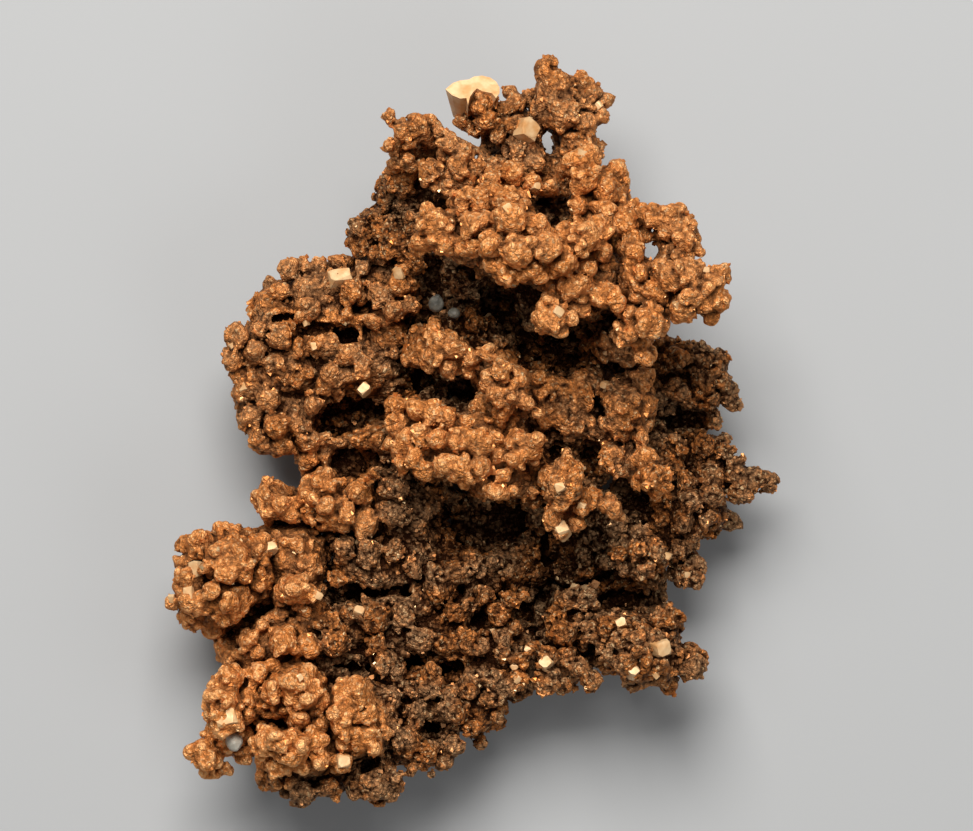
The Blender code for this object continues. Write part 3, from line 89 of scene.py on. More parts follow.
# The balls that make up the core: x, y, z, radius.
CORE = [
    # the spine from the crown down to the lower edge
    (9.8, 31, 13, 2.6), (7.5, 26, 13.5, 3.4), (2.5, 24, 12.5, 3.9), (2, 18, 13, 5.2),
    (-3.5, 22.5, 12.5, 3.2), (-8, 21, 9.5, 3), (7.5, 16, 15.5, 5), (4, 19, 21.5, 4.8),
    (8.5, 17.5, 21, 4.6), (-1, 20, 22, 3.4), (2, 9, 9.5, 6.2), (-3, 7, 13, 4.6), (9, 3.5, 12.5, 6),
    (1.5, 1, 13, 5.6), (-4, -0.5, 14, 5), (4, -3.5, 13, 5), (12, 19.5, 18, 4.2), (13, 23.5, 18.5, 3),
    (14.5, 10, 14.5, 3.8),
    # the right arm with its loop
    (16.5, 15, 23, 2.6), (20.5, 14.6, 24, 2.6), (17, 11, 22, 2), (20.5, 20.2, 22.5, 1.8),
    (15.4, 18.8, 22, 1.6), (17.3, 20.6, 21.6, 1.3), (19.2, 12.4, 23.5, 1.6), (20.6, 18, 23.4, 1.6),
    (19.5, 17.5, 23, 1.2), (22, 17.8, 23.6, 1),
    # bridges under thin places, which only the finer skin needs
    (-0.7, 26.3, 17.5, 1.3), (0.9, 30, 15, 1), (-1.3, 30.9, 12.5, 1.3), (0, 29.9, 13, 1.3),
    (1.2, 28.9, 13.5, 1.4), (-0.1, 31.3, 14.2, 1), (-4.3, 29.1, 18, 1.3), (-15.8, 10, 8.6, 2.2),
    (-18.8, 11.4, 8.6, 2), (28.6, -4.8, 9.6, 1.5), (26.4, -4.6, 9, 2.1), (27.6, -5.6, 9.4, 1.8),
    (29.7, -5.3, 9.3, 1.5), (22, 6.8, 9.5, 2.4), (24.2, 6.6, 9, 1.8), (20, 6.5, 9.5, 2.6),
    (-12.5, -15.6, 6, 3), (-12, -22.5, 8.2, 3), (-4.5, -23, 8, 3), (-9, -22, 9, 2.8),
    (-4.5, -30, 8.5, 2.6), (-19.8, -29.2, 12.5, 2.4), (-26.6, -33.6, 13.4, 1.5), (-26.4, -34.4, 13.6, 1),
    (-25.4, -33.9, 13, 1.4), (-19.5, -34.6, 12, 2), (-16.5, -35.2, 11.5, 2.2), (-14, -35, 11.5, 1.9),
    (-11.5, -35.4, 11.5, 1.7), (-17.5, -36.4, 12, 1.3), (-21, -33.8, 12.5, 1.5), (11.5, -3.5, 8, 2.6),
    (17.5, 19.4, 21.8, 1), (18.6, 19.3, 22, 0.9), (16.6, 20, 21.5, 1), (-7.3, -32, 10, 2.2),
    (-19.5, 10.5, 11, 3.2), (-10.5, 13, 11.5, 3.2), (-10.8, 19.6, 11.5, 2), (-9.5, 21.5, 11.5, 1.8),
    (-8.3, 23.5, 11.5, 2.2), (-8, 25, 12, 1.8), (2.1, 29.8, 15, 1.4), (-12, -24, 6.5, 3),
    (13.2, 15.6, 22.6, 1.9),
    # the right flank, further back
    (14, 2, 14, 4.2), (13, -3.5, 14, 4), (9, -4, 17.5, 2.6), (9.2, -8.6, 17.5, 1.6), (17.8, 5, 8, 4.2),
    (22.5, 5, 8.5, 3), (18.5, -2.5, 8.5, 3.6), (23.5, -3.2, 7.5, 3.2), (22.5, -8, 8, 3.6),
    (27, -5, 8.5, 1.8), (19.5, -9, 9.5, 3.2), (14.5, -9.5, 9, 3.6), (17, -12.5, 12.5, 2.8),
    (21.3, -13.5, 8, 2),
    # the left wing
    (-9.5, 14, 9.5, 4.6), (-14.5, 12.5, 9.5, 4.6), (-19, 11.5, 9.5, 3.8), (-22, 8.3, 10.5, 3.2),
    (-16.5, 6.5, 9, 4.6), (-10.5, 7, 9.5, 4.4), (-20.5, 2.5, 9.5, 3.6), (-19.8, 0, 9.5, 2.6),
    (-14.5, -1.5, 8.5, 3.2), (-9, -1, 9.5, 4.2), (-14, 9.5, 11.4, 3.8), (-18.5, 6.5, 11.2, 3.4),
    (-12.5, 6, 12.2, 3), (-16, 13, 11, 3.4), (-18.5, 1.5, 10.8, 3), (-21, 5, 10.6, 3.2),
    (-8.5, 9.5, 11.5, 2.8),
    # the lower left lobes
    (-13.5, -7, 9.5, 4.2), (-19.5, -7.8, 9.5, 2.4), (-18.5, -13, 9.5, 4.6), (-24.5, -14, 11.5, 4.6),
    (-27.5, -15.5, 11.5, 2.8), (-18, -18.5, 10, 4.2), (-20.5, -22, 11, 3.4), (-24.2, -27, 13.5, 2.8),
    (-18.5, -27, 12.5, 4.4), (-17.5, -32, 13, 4), (-11.5, -29, 12, 4.4), (-10.5, -34, 11, 2.6),
    (-25.9, -32.4, 13.5, 1.4),
    # the lower bed and the lower right
    (-6.5, -8.5, 8, 5), (-9.5, -14, 7.5, 5.2), (-3, -15.5, 6.5, 5.2), (-8, -20.5, 6.8, 5.4),
    (-1.5, -21.5, 6.5, 5.2), (4, -13.5, 4.5, 4.4), (3.5, -23, 6.5, 4.4), (-5, -28.5, 8, 4.8),
    (0, -27.5, 7.8, 3.8), (-4.8, -32, 9.5, 2.6), (9.5, -19.5, 6.5, 4), (9, -24, 7, 3),
    (10.5, -12.5, 4.2, 4), (14.5, -21, 9.5, 4.2), (17.5, -22, 11, 3.8), (21.5, -23, 10, 1.8),
    (16.5, -16, 4.5, 3.6), (4, -7, 5, 4.6), (-15, -23.5, 8.5, 3.6), (-24, -31, 12, 2.4),
    (-12, -13.5, 9.8, 3), (-6, -13, 9.3, 3), (-6, -17.5, 9.5, 3), (-12, -19.5, 9.8, 3), (-4, -20, 8.8, 3),
    (0, -18.5, 8, 2.8), (1, -14.5, 7.6, 2.6), (-9, -23.5, 9.3, 2.8), (-4, -27.5, 10, 2.8),
    (0.5, -25, 9, 3), (3, -19.5, 7.8, 2.6), (-6.5, -24.5, 9.5, 2.6),
    # under the deepest hollows
    (-12, 1.8, 4.6, 3.4), (-6, 5, 5.5, 3.8), (-4.5, 14.5, 6, 4), (1, -9.5, 3.8, 3.6),
    (-23.5, -19.5, 7, 3), (-12.5, -3.5, 5, 3), (8, 21.5, 10, 3.6), (10.5, 8.5, 8.5, 4.2),
    (21.5, 1.2, 5, 3), (16.5, -7, 7, 3.2), (-10.5, -33, 8, 2.4), (-17.5, 13.5, 6.5, 2.6),
    # behind the upper left spur and the cut stub
    (-5.5, 28, 17.2, 2.2), (-3, 27.3, 17, 2.5), (-6.8, 25.6, 14.5, 2.4), (-1.2, 27.6, 16.5, 1.8),
    (-4.6, 29.9, 18.6, 1.2), (3.6, 29.6, 15, 2.4), (1.6, 31.6, 15, 1.8), (6.4, 31, 14.5, 1.6),
    (2, 27, 15.5, 2), (18.9, 18.3, 20.8, 1.5), (-3, -8.5, 6.5, 3), (11.5, -22, 6.5, 2.6),
    (-9.8, -33, 8.5, 2), (-23.5, -23, 9.5, 2.2), (-16.5, 2, 7.5, 2.6), (16, -8.5, 5.5, 2.8),
    # down to the resting knobs
    (-19.5, -24, 6.5, 3.6), (14.5, -19.5, 5.5, 3.4), (19.5, -3.5, 5, 3.2), (-16.5, 9.5, 5.5, 3.6),
    (5.5, 23, 7, 4), (1, -1, 6.5, 4.6), (-22.5, -26.5, 7.5, 3.4), (-16.5, -25.5, 6.5, 4.2),
    (-18, -21, 6.5, 4), (-18.5, -29.5, 8, 3.8), (3, 20.5, 7.5, 4.6), (9, 26, 9, 4), (3.5, 26, 9, 3.8),
    (-13, 10, 6, 4), (-19.5, 6.5, 6.5, 3.4), (22.5, -5.5, 5.5, 3.4), (6, -18, 4.5, 3.4),
    (-12.5, -34, 9.5, 2.4), (13, -17.5, 5, 3),
]

# The balls taken out of the core, for the deepest hollows.
CHAMBERS = [
    (-1.5, 13.2, 17.5, 3.6), (3.2, 11.6, 17, 3.4), (7.2, 8.6, 18.5, 2.6), (0.5, -9.5, 13, 3.4),
    (3.8, -9.8, 12, 3), (-12, 1.8, 15, 2.8), (6.2, -17.5, 9.5, 2.6), (16.6, -7.5, 15.5, 2.2),
    (21.8, 1.4, 11.5, 1.6), (12.5, -6.5, 16, 1.8), (10.5, -13.5, 11, 3), (-3.5, 4.4, 17, 1.6),
]

# The knobs that grow on the core, by cluster: balls too.
KNOBS = {
    "crown": [
        (7.5, 36.3, 15.5, 1.35), (8.2, 34, 16, 2.3), (10.7, 33.6, 15.5, 2.1), (13, 33, 14.5, 1.4),
        (12.7, 31.7, 15.5, 1.2), (9, 31.6, 17, 2.1), (7.1, 32.5, 16.5, 1.4), (11.2, 30.9, 16.5, 1.6),
        (10.6, 29.2, 15.5, 2.2), (12.1, 28.4, 14, 1.2), (5.6, 33.2, 15, 1.1), (4.3, 32.9, 15.8, 1.2),
        (3.5, 34, 15, 0.8), (6.3, 31.2, 15.5, 1.3), (6.1, 29.9, 15.5, 1.1), (-0.4, 30.5, 15.5, 1),
        (0.8, 29.8, 16, 1),
    ],
    "cut_stub": [
        (-0.3, 32.6, 15.4, 1.6), (1.2, 32.8, 17, 1.7), (1.6, 31.1, 17.6, 1.3), (-2.6, 31.3, 15, 0.7),
        (-1, 31.2, 15.6, 1.2), (3, 30.5, 17.6, 1.3), (4.4, 30.3, 17.6, 1.5), (4.6, 28.4, 17.5, 1.7),
        (5.9, 26.9, 17.5, 1.6), (3.2, 32.2, 16.2, 1.3),
    ],
    "upper_left_spur": [
        (-8.3, 30.7, 20.5, 0.8), (-8.5, 28.4, 20.5, 1), (-6.9, 29.8, 20.8, 1), (-5.2, 30.4, 20.5, 1),
        (-4.2, 30.9, 19.5, 0.8), (-3.3, 29.7, 20.5, 1.1), (-2.4, 28.4, 21, 1.3), (-0.9, 27.6, 21, 1.3),
        (-1.6, 26.4, 21.5, 1.4), (0.3, 26.2, 20.5, 1.2), (-6.1, 26.6, 19.5, 1.3), (-4.2, 25.9, 20.5, 1.5),
        (-2.5, 24.2, 20.5, 1.3), (-0.6, 24.8, 20.5, 1.4), (-3, 26.8, 18, 2), (-6, 28.4, 18.5, 1),
        (1.6, 24.8, 21, 1.3), (-7.4, 28.2, 19, 1.3), (-5.9, 29.2, 19.5, 1.5), (-7.2, 27, 18, 1.2),
        (-3.6, 30.4, 19.8, 1), (-2.2, 29.2, 20.4, 1),
    ],
    "left_shoulder": [
        (-8.1, 24.9, 12, 1.8), (-9, 22.7, 12.5, 1.4), (-10.2, 22.1, 11, 0.9), (-11.7, 20.1, 12, 1.5),
        (-11.2, 18.5, 12.5, 1.5), (-9, 20.2, 13, 1.9), (-6.9, 22.6, 13.5, 1.6), (-7.3, 19, 13.5, 1.9),
        (-5.8, 21, 15, 1.7), (-9.6, 17.5, 13, 1.5), (-6.2, 16.8, 13.5, 1.4),
    ],
    "front_cluster": [
        (-3.5, 20.6, 26, 2), (-4.8, 18.9, 25, 1.2), (-2.6, 18.6, 26.5, 1.4), (-1.2, 22.5, 26, 1.5),
        (0.8, 22.8, 26.5, 1.5), (3, 22.6, 27, 1.7), (0.4, 20.5, 28.5, 1.7), (3.8, 20.6, 29.5, 2),
        (2, 18.4, 29.8, 1.6), (4.5, 17.6, 30.5, 1.9), (6.4, 20, 29, 1.8), (7.2, 18, 30, 1.9),
        (1.8, 16.2, 29, 1.1), (3.2, 15.4, 29, 1.3), (5.8, 15.9, 29.5, 1.3), (9.3, 19.5, 27.5, 1.3),
        (10.8, 18.7, 28, 1.8), (8.8, 16.3, 29, 1.6), (-0.5, 18.2, 27.5, 1.3), (8, 10.9, 27, 2.3),
        (7.6, 12.9, 26, 1.2), (9.4, 14.1, 27, 1.4), (10.9, 14.3, 26.5, 1.3), (11.7, 16, 27, 1.2),
        (12.3, 13.4, 26, 1.4), (13.8, 13.3, 26.5, 1.5), (10.5, 12.5, 25, 1.2), (13.9, 16.2, 27, 1.1),
        (13, 17.8, 25, 1.1), (12.2, 19.6, 25.5, 1.3),
    ],
    "upper_right_cluster": [
        (10.6, 26.6, 20.5, 1.9), (11, 24.8, 21.5, 1.7), (8.8, 25.9, 19.5, 1.1), (6.3, 24.4, 20.5, 0.9),
        (7.6, 24.2, 20.5, 1), (4, 25.3, 20, 1.4), (2.8, 25.2, 19.5, 1.2), (14.3, 25.8, 18.5, 1.6),
        (14.9, 24.1, 18.5, 1.3), (13, 23.6, 21, 1.6), (10.8, 22.4, 21.5, 1), (12.8, 22, 22, 1.3),
        (9.8, 21.2, 21.5, 1), (13.4, 20.9, 22.5, 1), (15.9, 22.6, 19.5, 0.9), (14.9, 21.5, 20.5, 1.2),
    ],
    "right_arm": [
        (16.9, 21.4, 22.5, 1.2), (18.2, 21, 23, 1.5), (19.8, 21.3, 23, 1.4), (20.9, 20.2, 23.5, 1.4),
        (21, 18.8, 24.5, 1.3), (18.9, 19.6, 23.5, 1.1), (15.9, 18.6, 24.5, 1.3), (15.8, 16.9, 25, 1.3),
        (15.2, 20.1, 23.5, 1.2), (16.5, 15.6, 26, 1.3), (19, 15.3, 26.5, 1.7), (21.3, 15.5, 27.5, 1.9),
        (22.7, 13.9, 26.5, 2.3), (24.2, 15.3, 26, 1.5), (23.6, 12.9, 25, 1.9), (20.8, 12.6, 25.5, 2.1),
        (18.2, 13.5, 26, 1.6), (16.5, 13.8, 25.5, 1.3), (17.3, 11.2, 26.5, 1.7), (15.7, 11.2, 25.5, 1.3),
        (18.8, 10.8, 24, 1.4), (15.2, 9.3, 24.5, 1.3), (16.4, 8.6, 23.5, 1.1), (17.1, 7.4, 23.5, 1.2),
        (21.6, 17.3, 24.5, 1), (20.4, 17, 24, 1), (19.3, 18.2, 22, 1.1), (23.4, 14.8, 28, 1.1),
        (21.9, 13.4, 28.3, 1.1), (22.6, 12.3, 27.4, 1), (24.3, 13.4, 27, 1.1),
    ],
    "right_column": [
        (12.1, 8.6, 21, 1.6), (11.2, 7.4, 20, 1.5), (13.2, 7, 22, 1.4), (13.4, 5.8, 22.5, 1.2),
        (12.6, 4.6, 22.8, 0.9), (13.6, 4.5, 22.8, 0.8), (14.6, 3.1, 21.5, 1.2), (13.8, 1.8, 20.5, 1.1),
        (15.4, 6.4, 20, 1.3), (8, 4.6, 21.5, 1.1), (9.4, 4.8, 21.8, 1.1), (10.9, 4.9, 21, 1),
        (8.3, 2, 21, 1.3), (9.8, 2, 21.8, 1.4), (11.3, 1.8, 21, 1.2), (10, 0.4, 20.8, 1.3),
        (11.6, 0.6, 19.8, 1), (6.6, 6.6, 18.5, 0.9), (5.5, 5.4, 18.5, 0.9), (5.5, 2.8, 20.5, 1.2),
        (6.4, 1.8, 20, 1.1), (4.4, 1.2, 20, 0.9), (14, -0.5, 22.5, 1.6), (14.2, -2.3, 23, 1.8),
        (15.8, -0.8, 20.5, 1.3), (9.4, -3.2, 21.5, 1.4), (8.8, -5.3, 22, 2.2), (10.6, -3.8, 20.5, 0.9),
        (7.9, -8.8, 20.5, 1.2), (8.9, -9.9, 20.5, 1.1), (10.7, -7.7, 20.5, 1), (10.2, -9, 20, 0.8),
        (6.2, -9, 18.5, 0.7), (12, -6.3, 18.5, 1.3), (13.7, -7.1, 18, 1.5), (14.6, -8.1, 17, 1.1),
        (15.6, -9.8, 17, 1), (17.8, -4.9, 19, 1.9), (17.3, -2.6, 18, 1.5), (16.8, -0.6, 16.5, 1.4),
        (17.3, 2.5, 15, 1.5), (16.8, 5, 15.5, 1.4),
    ],
    "middle_ridge": [
        (-8.8, 8.5, 18, 1), (-7.8, 9.7, 18, 1), (-6.9, 8.4, 19, 1.5), (-5.7, 10, 18.8, 1.2),
        (-4, 10.3, 19, 1.4), (-3.3, 8.7, 20.2, 1.8), (-4.3, 7.1, 20, 1.3), (-1.9, 8.2, 20.5, 1.5),
        (-2.3, 6.2, 19, 1.3), (0, 7.3, 20, 1.4), (1.5, 7.6, 20, 1.3), (2.8, 5.9, 21.5, 1.6),
        (1.3, 5.2, 21, 1.4), (2.2, 3.8, 21, 1.5), (3.7, 3.6, 20.8, 1.3), (4.4, 5.5, 20.2, 1.2),
        (4.7, 7, 19, 1.2), (0.9, 3.7, 20, 1), (-0.4, 5.6, 19, 1), (3, 8.9, 17, 1.3),
        (3.2, 1.9, 19.5, 1.1),
    ],
    "lower_ridge": [
        (-8, 2.5, 18, 1.2), (-7.5, 0.6, 18.5, 1.2), (-8.3, -1.2, 17.5, 1), (-5.4, 2.2, 20, 1.4),
        (-4, 1.8, 20.8, 1.4), (-2.5, 1.3, 21, 1.4), (-0.8, 1.2, 20.8, 1.2), (-6.5, -0.8, 20, 1.3),
        (-4.9, -0.4, 21, 1.4), (-3.4, -0.8, 21.8, 1.5), (-1.5, -1, 22, 1.5), (0.5, -1.5, 21.8, 1.5),
        (-7.2, -3.3, 20, 1.3), (-5.8, -2.7, 21, 1.2), (-4.8, -3.9, 21, 1.2), (-3, -3.2, 22, 1.4),
        (-1, -3.6, 22, 1.4), (0.6, -3.4, 21.8, 1.4), (-0.9, -4.8, 21, 1), (4.5, -0.7, 20.5, 1.3),
        (5.8, -1.8, 20.8, 1.5), (4.3, -2.6, 20.8, 1.4), (6.3, -3.2, 20, 1), (3, -4.4, 20.8, 1.1),
        (2.6, -5.9, 20.5, 1), (4, -5.8, 20.3, 1.1), (2.4, -2.4, 20.5, 1.3), (-3.2, -7.4, 17.5, 1.1),
        (-4.2, -7.7, 17, 0.9), (-2.2, -7.2, 17, 0.9), (2.4, -0.6, 20, 1.1),
    ],
    "left_wing": [
        (-18.8, 16.2, 11.5, 1.1), (-16.9, 16.5, 11, 0.9), (-15.5, 16.6, 11, 0.9),
        (-13.4, 16.7, 11.5, 1.1), (-12.5, 17, 11.5, 0.9), (-10.8, 16.3, 13, 1.3), (-13.9, 15, 13, 1.6),
        (-19.3, 14.1, 12.5, 1.4), (-20.6, 13.1, 12, 1.2), (-21.4, 12.2, 11.5, 0.9),
        (-17, 14.3, 12.5, 1.6), (-16.4, 12.2, 14, 1.5), (-12, 13.8, 13.5, 1.8), (-9.5, 13.8, 14, 1.9),
        (-7.4, 14.6, 14.5, 1.7), (-7.3, 16, 15, 0.9), (-6.2, 12.8, 14.5, 1.2), (-12.6, 11.6, 14, 1.2),
        (-10, 10.9, 14.5, 1.2), (-8, 12, 15, 1.4), (-14.2, 11.7, 13.5, 1.1), (-23.6, 9.4, 13.5, 1.8),
        (-24, 7.3, 13.5, 1.4), (-21.5, 10.2, 13.5, 1.3), (-19.5, 9.3, 14.5, 1.5), (-22, 7.9, 14, 1.5),
        (-23.5, 5.5, 12.5, 1.3), (-20, 6.8, 13.5, 1.5), (-17.5, 8, 13.5, 1.4), (-15.8, 8.4, 13.5, 1.2),
        (-12.5, 7.7, 14.5, 1.9), (-14.1, 6, 14, 1.6), (-11.2, 6.2, 15, 1.5), (-17, 6, 13, 1.3),
        (-11, 4.4, 15.5, 1), (-15, 4.5, 13.5, 1.2), (-16.2, 2.7, 13.5, 1.2), (-23.4, 3.8, 12.5, 1.2),
        (-22.2, 1.5, 12.5, 1.6), (-20.5, 3.1, 13, 1.6), (-21.5, -0.5, 12, 1.6), (-21.8, -1.6, 11.5, 0.9),
        (-20, 0.6, 13, 1.7), (-19.3, -1.2, 12, 1.3), (-17.5, 0.5, 12.5, 1.4), (-16.4, -1, 12, 1.6),
        (-14, -0.9, 12, 1.5), (-11.6, -0.9, 12.5, 1.4), (-16.4, -2.7, 11, 1.1), (-13.4, -2.2, 11.5, 1.2),
        (-9.6, -0.8, 13.5, 1.2), (-9.4, 4.9, 15.5, 1),
    ],
    "lower_left_lobes": [
        (-20.9, -5.7, 12, 0.9), (-20.2, -7.2, 12, 2.2), (-22.1, -7, 11.5, 1), (-18.6, -7.9, 12.5, 1.6),
        (-15.2, -5.9, 13.5, 2), (-15.1, -4.8, 12.5, 1.2), (-13.8, -8, 13.5, 2.2), (-16.2, -8.1, 13, 1.3),
        (-11.8, -6, 13.5, 1.6), (-11, -9, 13, 1.6), (-27.4, -11.6, 13.5, 2.2), (-25.3, -9.8, 12.5, 1.2),
        (-24, -10.4, 13, 1.2), (-24.5, -13, 15, 3), (-28.6, -13.5, 13, 1.8), (-28, -16.2, 14, 2.3),
        (-30.3, -17.1, 12.5, 0.9), (-28.4, -18.4, 12.5, 1.5), (-25, -16.8, 14.5, 2.8), (-22, -12, 14, 2),
        (-21.6, -14.6, 13.5, 1.9), (-29.3, -11.3, 12, 1), (-20.5, -11.8, 14, 1), (-26, -19.6, 10, 1.5),
        (-25, -21.8, 9.5, 1.3), (-18.2, -16.2, 15, 1.9), (-16.3, -16.5, 14.5, 1.2),
        (-16.9, -18.2, 13.5, 1.1), (-21.3, -19.4, 14.5, 1), (-22.5, -20.7, 14.5, 1.3),
        (-19, -21, 15, 1.8), (-16.9, -21.3, 14, 1.5), (-21.6, -22.4, 14, 1.2), (-17, -13.4, 12.5, 1.4),
        (-19.2, -13, 13, 1.2), (-20.3, -18.6, 13, 1), (-25.8, -12, 17, 1.2), (-23.3, -12.2, 17.2, 1.1),
        (-24.6, -14.3, 17.6, 1.2), (-22.8, -14.6, 16.4, 1.1), (-26.6, -13.6, 16.6, 1.2),
        (-26.2, -15.8, 17, 1.3), (-24.2, -17, 17, 1.2), (-27.6, -17.2, 15.8, 1.2),
        (-23.4, -18.6, 15.2, 1.1), (-25.8, -18.6, 15.6, 1.1), (-28.6, -15, 15.2, 1.1),
        (-27, -10.6, 14.8, 1.1), (-28.4, -12.4, 14.4, 1), (-20.9, -6.4, 13.8, 1), (-19.4, -7.4, 14.2, 1),
        (-20.9, -8.2, 13.4, 0.9), (-14.6, -7.2, 15.4, 1.1), (-13, -8.6, 15.2, 1.1), (-12.8, -7, 14.9, 1),
        (-15.6, -5.2, 15, 1), (-14.2, -5.6, 14.8, 0.9), (-16, -6.8, 14.8, 1),
    ],
    "foot_cluster": [
        (-24.3, -24.9, 16.5, 1.6), (-25, -27, 16.5, 2.2), (-24.6, -28.5, 17.5, 1.7),
        (-22.6, -26.6, 16, 1.2), (-21.7, -24.6, 15.5, 1.2), (-20.2, -23.6, 15, 1.1),
        (-19.8, -26.1, 17, 1.6), (-17.3, -26.3, 17.5, 2.3), (-19, -28, 16.5, 1.1),
        (-16.5, -24.4, 16, 1.2), (-16, -27.6, 16.5, 1.3), (-12, -26.2, 17, 1.9),
        (-12.8, -27.9, 17.5, 1.5), (-13.2, -29.5, 17.5, 1.4), (-10.8, -28.3, 16.5, 1.5),
        (-10.7, -30.7, 16.5, 1.7), (-13, -31.1, 16.5, 1), (-20.5, -31.1, 17.5, 1.9),
        (-18, -31.5, 18.5, 2.2), (-16, -30.9, 18, 1.6), (-21.9, -33, 16, 1.1), (-19.5, -33.5, 17, 1.6),
        (-17.1, -33.4, 17.5, 1.4), (-15.5, -32.6, 17.5, 1.4), (-13, -33.3, 16.5, 1.5),
        (-27, -32.5, 15, 1.6), (-25.7, -33.4, 14.5, 1.2), (-26.6, -34.7, 14, 0.7), (-25.3, -31, 14, 1.1),
        (-23, -33, 12.8, 1), (-25.9, -30, 14.5, 1.3), (-23, -30.6, 13.5, 1.2), (-17.9, -25.4, 19.2, 1.1),
        (-16.5, -26.8, 19.3, 1.1), (-18.2, -27.1, 18.9, 1), (-18.8, -31, 20.2, 1.1),
        (-17.1, -31, 20.3, 1.1), (-17.8, -32.4, 20, 1.1), (-21, -29.2, 17, 1.3), (-17, -28.9, 17.6, 1.3),
        (-15.5, -29.3, 16.6, 1.2), (-22.5, -28.9, 16, 1.1), (-25.6, -26.2, 18.2, 1.1),
        (-24.2, -27, 18.3, 1.1), (-25.8, -27.9, 18, 1), (-24, -31.2, 14.6, 1.4),
    ],
    "foot_rim": [
        (-20.1, -35.2, 14, 1.5), (-17.4, -36, 14, 1.8), (-16.8, -37.2, 12.5, 0.9),
        (-14.5, -35.8, 14, 1.2), (-12.2, -36.1, 13, 1.1), (-10, -35.5, 14, 1.7), (-8.3, -35.1, 13.5, 1.3),
        (-9.7, -36.9, 12, 0.9),
    ],
    "lower_bed": [
        (-13, -12, 12.5, 1.5), (-10.4, -12.5, 12.5, 1.5), (-8, -12.5, 12, 1.4), (-6, -13.4, 12, 1.3),
        (-9, -14.9, 12, 1.1), (-13.5, -14.9, 12.5, 1.2), (-4, -14.5, 11.5, 1.3), (-4, -16.6, 11.5, 1.4),
        (-2, -14, 11, 1.2), (-10, -19, 12.5, 1.9), (-7, -18.5, 12, 1.7), (-12.5, -18.5, 12.5, 1.3),
        (-13.8, -21.2, 13, 1.6), (-9.8, -21.5, 12.5, 1.4), (-5.5, -21.1, 12, 1.6), (-9, -23, 12.5, 1.3),
        (-7.7, -24.3, 12, 1), (-3, -21.5, 11.5, 1.3), (-0.8, -21, 11.5, 1.3), (-1.8, -18.4, 11.5, 1.3),
        (-0.7, -17.4, 11, 1.2), (1.2, -16.9, 11, 1.3), (2.5, -18.6, 11, 1.2), (3.8, -17, 10.5, 1.2),
        (-5, -18.2, 11.5, 1.1), (0.5, -13, 10.5, 1.2), (2.3, -13, 10.5, 1.4), (3.6, -14.1, 10, 1.2),
        (6.3, -13.5, 10, 1.3), (6.3, -15, 9.5, 1), (2.6, -11.6, 9.5, 0.9), (-1, -15.5, 10.5, 1),
        (3, -21, 11, 1.3), (4.6, -20.1, 10.5, 0.9), (1, -22, 11.5, 1.4), (2.8, -22.7, 11.5, 1.2),
        (-4.4, -25.6, 12.5, 1.7), (-6.1, -26.1, 12.5, 1.3), (-2.8, -26.6, 12, 1.5), (0, -25.6, 12, 1.4),
        (2.2, -25.4, 12, 1.7), (-5.5, -28.7, 13, 1.6), (-2, -28.2, 12.5, 1.7), (1.6, -27, 11.5, 1.5),
        (2.2, -28.7, 10.5, 1.1), (0.1, -30, 11, 1.2), (-6.6, -31, 13.5, 1.7), (-4.6, -32.5, 13, 1.5),
        (-2.2, -31.5, 12, 1.3), (-3.1, -33.2, 11.5, 1.1), (-6, -34, 12.5, 1.3), (-4.2, -34.6, 11.5, 1),
        (0.8, -31.7, 9, 1), (-7.8, -8, 13.5, 1.7), (-8, -5.4, 15, 1.6), (-9.8, -4.2, 15, 1.1),
        (-5.6, -9.8, 12, 1.2), (-8.3, -27, 13, 1.3), (-11.5, -23, 11.5, 1.2), (-14.9, -19.5, 13, 1.1),
    ],
    "lower_right": [
        (9.6, -17, 10.5, 1.3), (11.5, -17, 11, 1.6), (8.4, -18.3, 10, 1), (7.5, -19, 9.8, 0.9),
        (9.3, -20.3, 11, 1.5), (10.7, -18.9, 10.5, 1.1), (13, -18.9, 11, 1.1), (5.9, -22, 12, 1),
        (7.3, -23.4, 12.5, 1), (4.9, -23, 12, 0.9), (4.4, -25, 12, 1.1), (7.5, -25.3, 12, 1.6),
        (9.3, -25.7, 11.5, 1.4), (10.5, -24, 11.5, 1.5), (12, -25, 11.5, 1.4), (9.8, -22.5, 11, 1.2),
        (16.5, -22.5, 14.5, 2.9), (18.6, -21.6, 16.5, 1.2), (14.8, -21, 16, 1.3), (17.2, -23.4, 17, 0.9),
        (18.2, -19.1, 13.5, 1.3), (19.6, -18.9, 13, 1.3), (20.7, -19.4, 12, 0.7), (22, -23.7, 11.5, 1.8),
        (13.6, -22.6, 15, 1.1), (18.8, -24.4, 13.5, 1.3), (16, -25.3, 13, 1.2), (13.6, -25.6, 10.5, 1.2),
        (19.8, -25.4, 11, 1.1), (16.6, -20.6, 17, 1.3), (15.4, -23.2, 17, 1.3), (18.3, -23.5, 16.2, 1.2),
        (16.6, -22, 17.6, 1.2), (17.6, -20.2, 15.8, 1.1),
    ],
    "right_flank": [
        (20.5, 7.2, 11.5, 1.5), (19.2, 6.4, 11, 1.5), (21.3, 8.3, 10.5, 0.7), (23, 7, 10.5, 1.4),
        (24.7, 7.4, 9.5, 0.9), (20.5, 4.2, 12, 1.8), (23, 4.6, 11.5, 1.8), (25.1, 4.6, 10.5, 1.2),
        (26.2, 4.2, 10, 0.8), (25.9, 3.1, 10.5, 0.9), (24, 3.2, 11.5, 1.1), (21.6, 3.1, 11.5, 1),
        (24.2, 1, 9, 1.2), (21.6, 8.5, 10.5, 0.9), (19, 8.3, 10, 1), (20.4, -0.6, 11.5, 1.2),
        (21, -1.9, 11.5, 1.1), (23.5, -1.5, 10.5, 1.6), (25.2, -2, 10, 1.5), (26.3, -3.3, 10, 1.4),
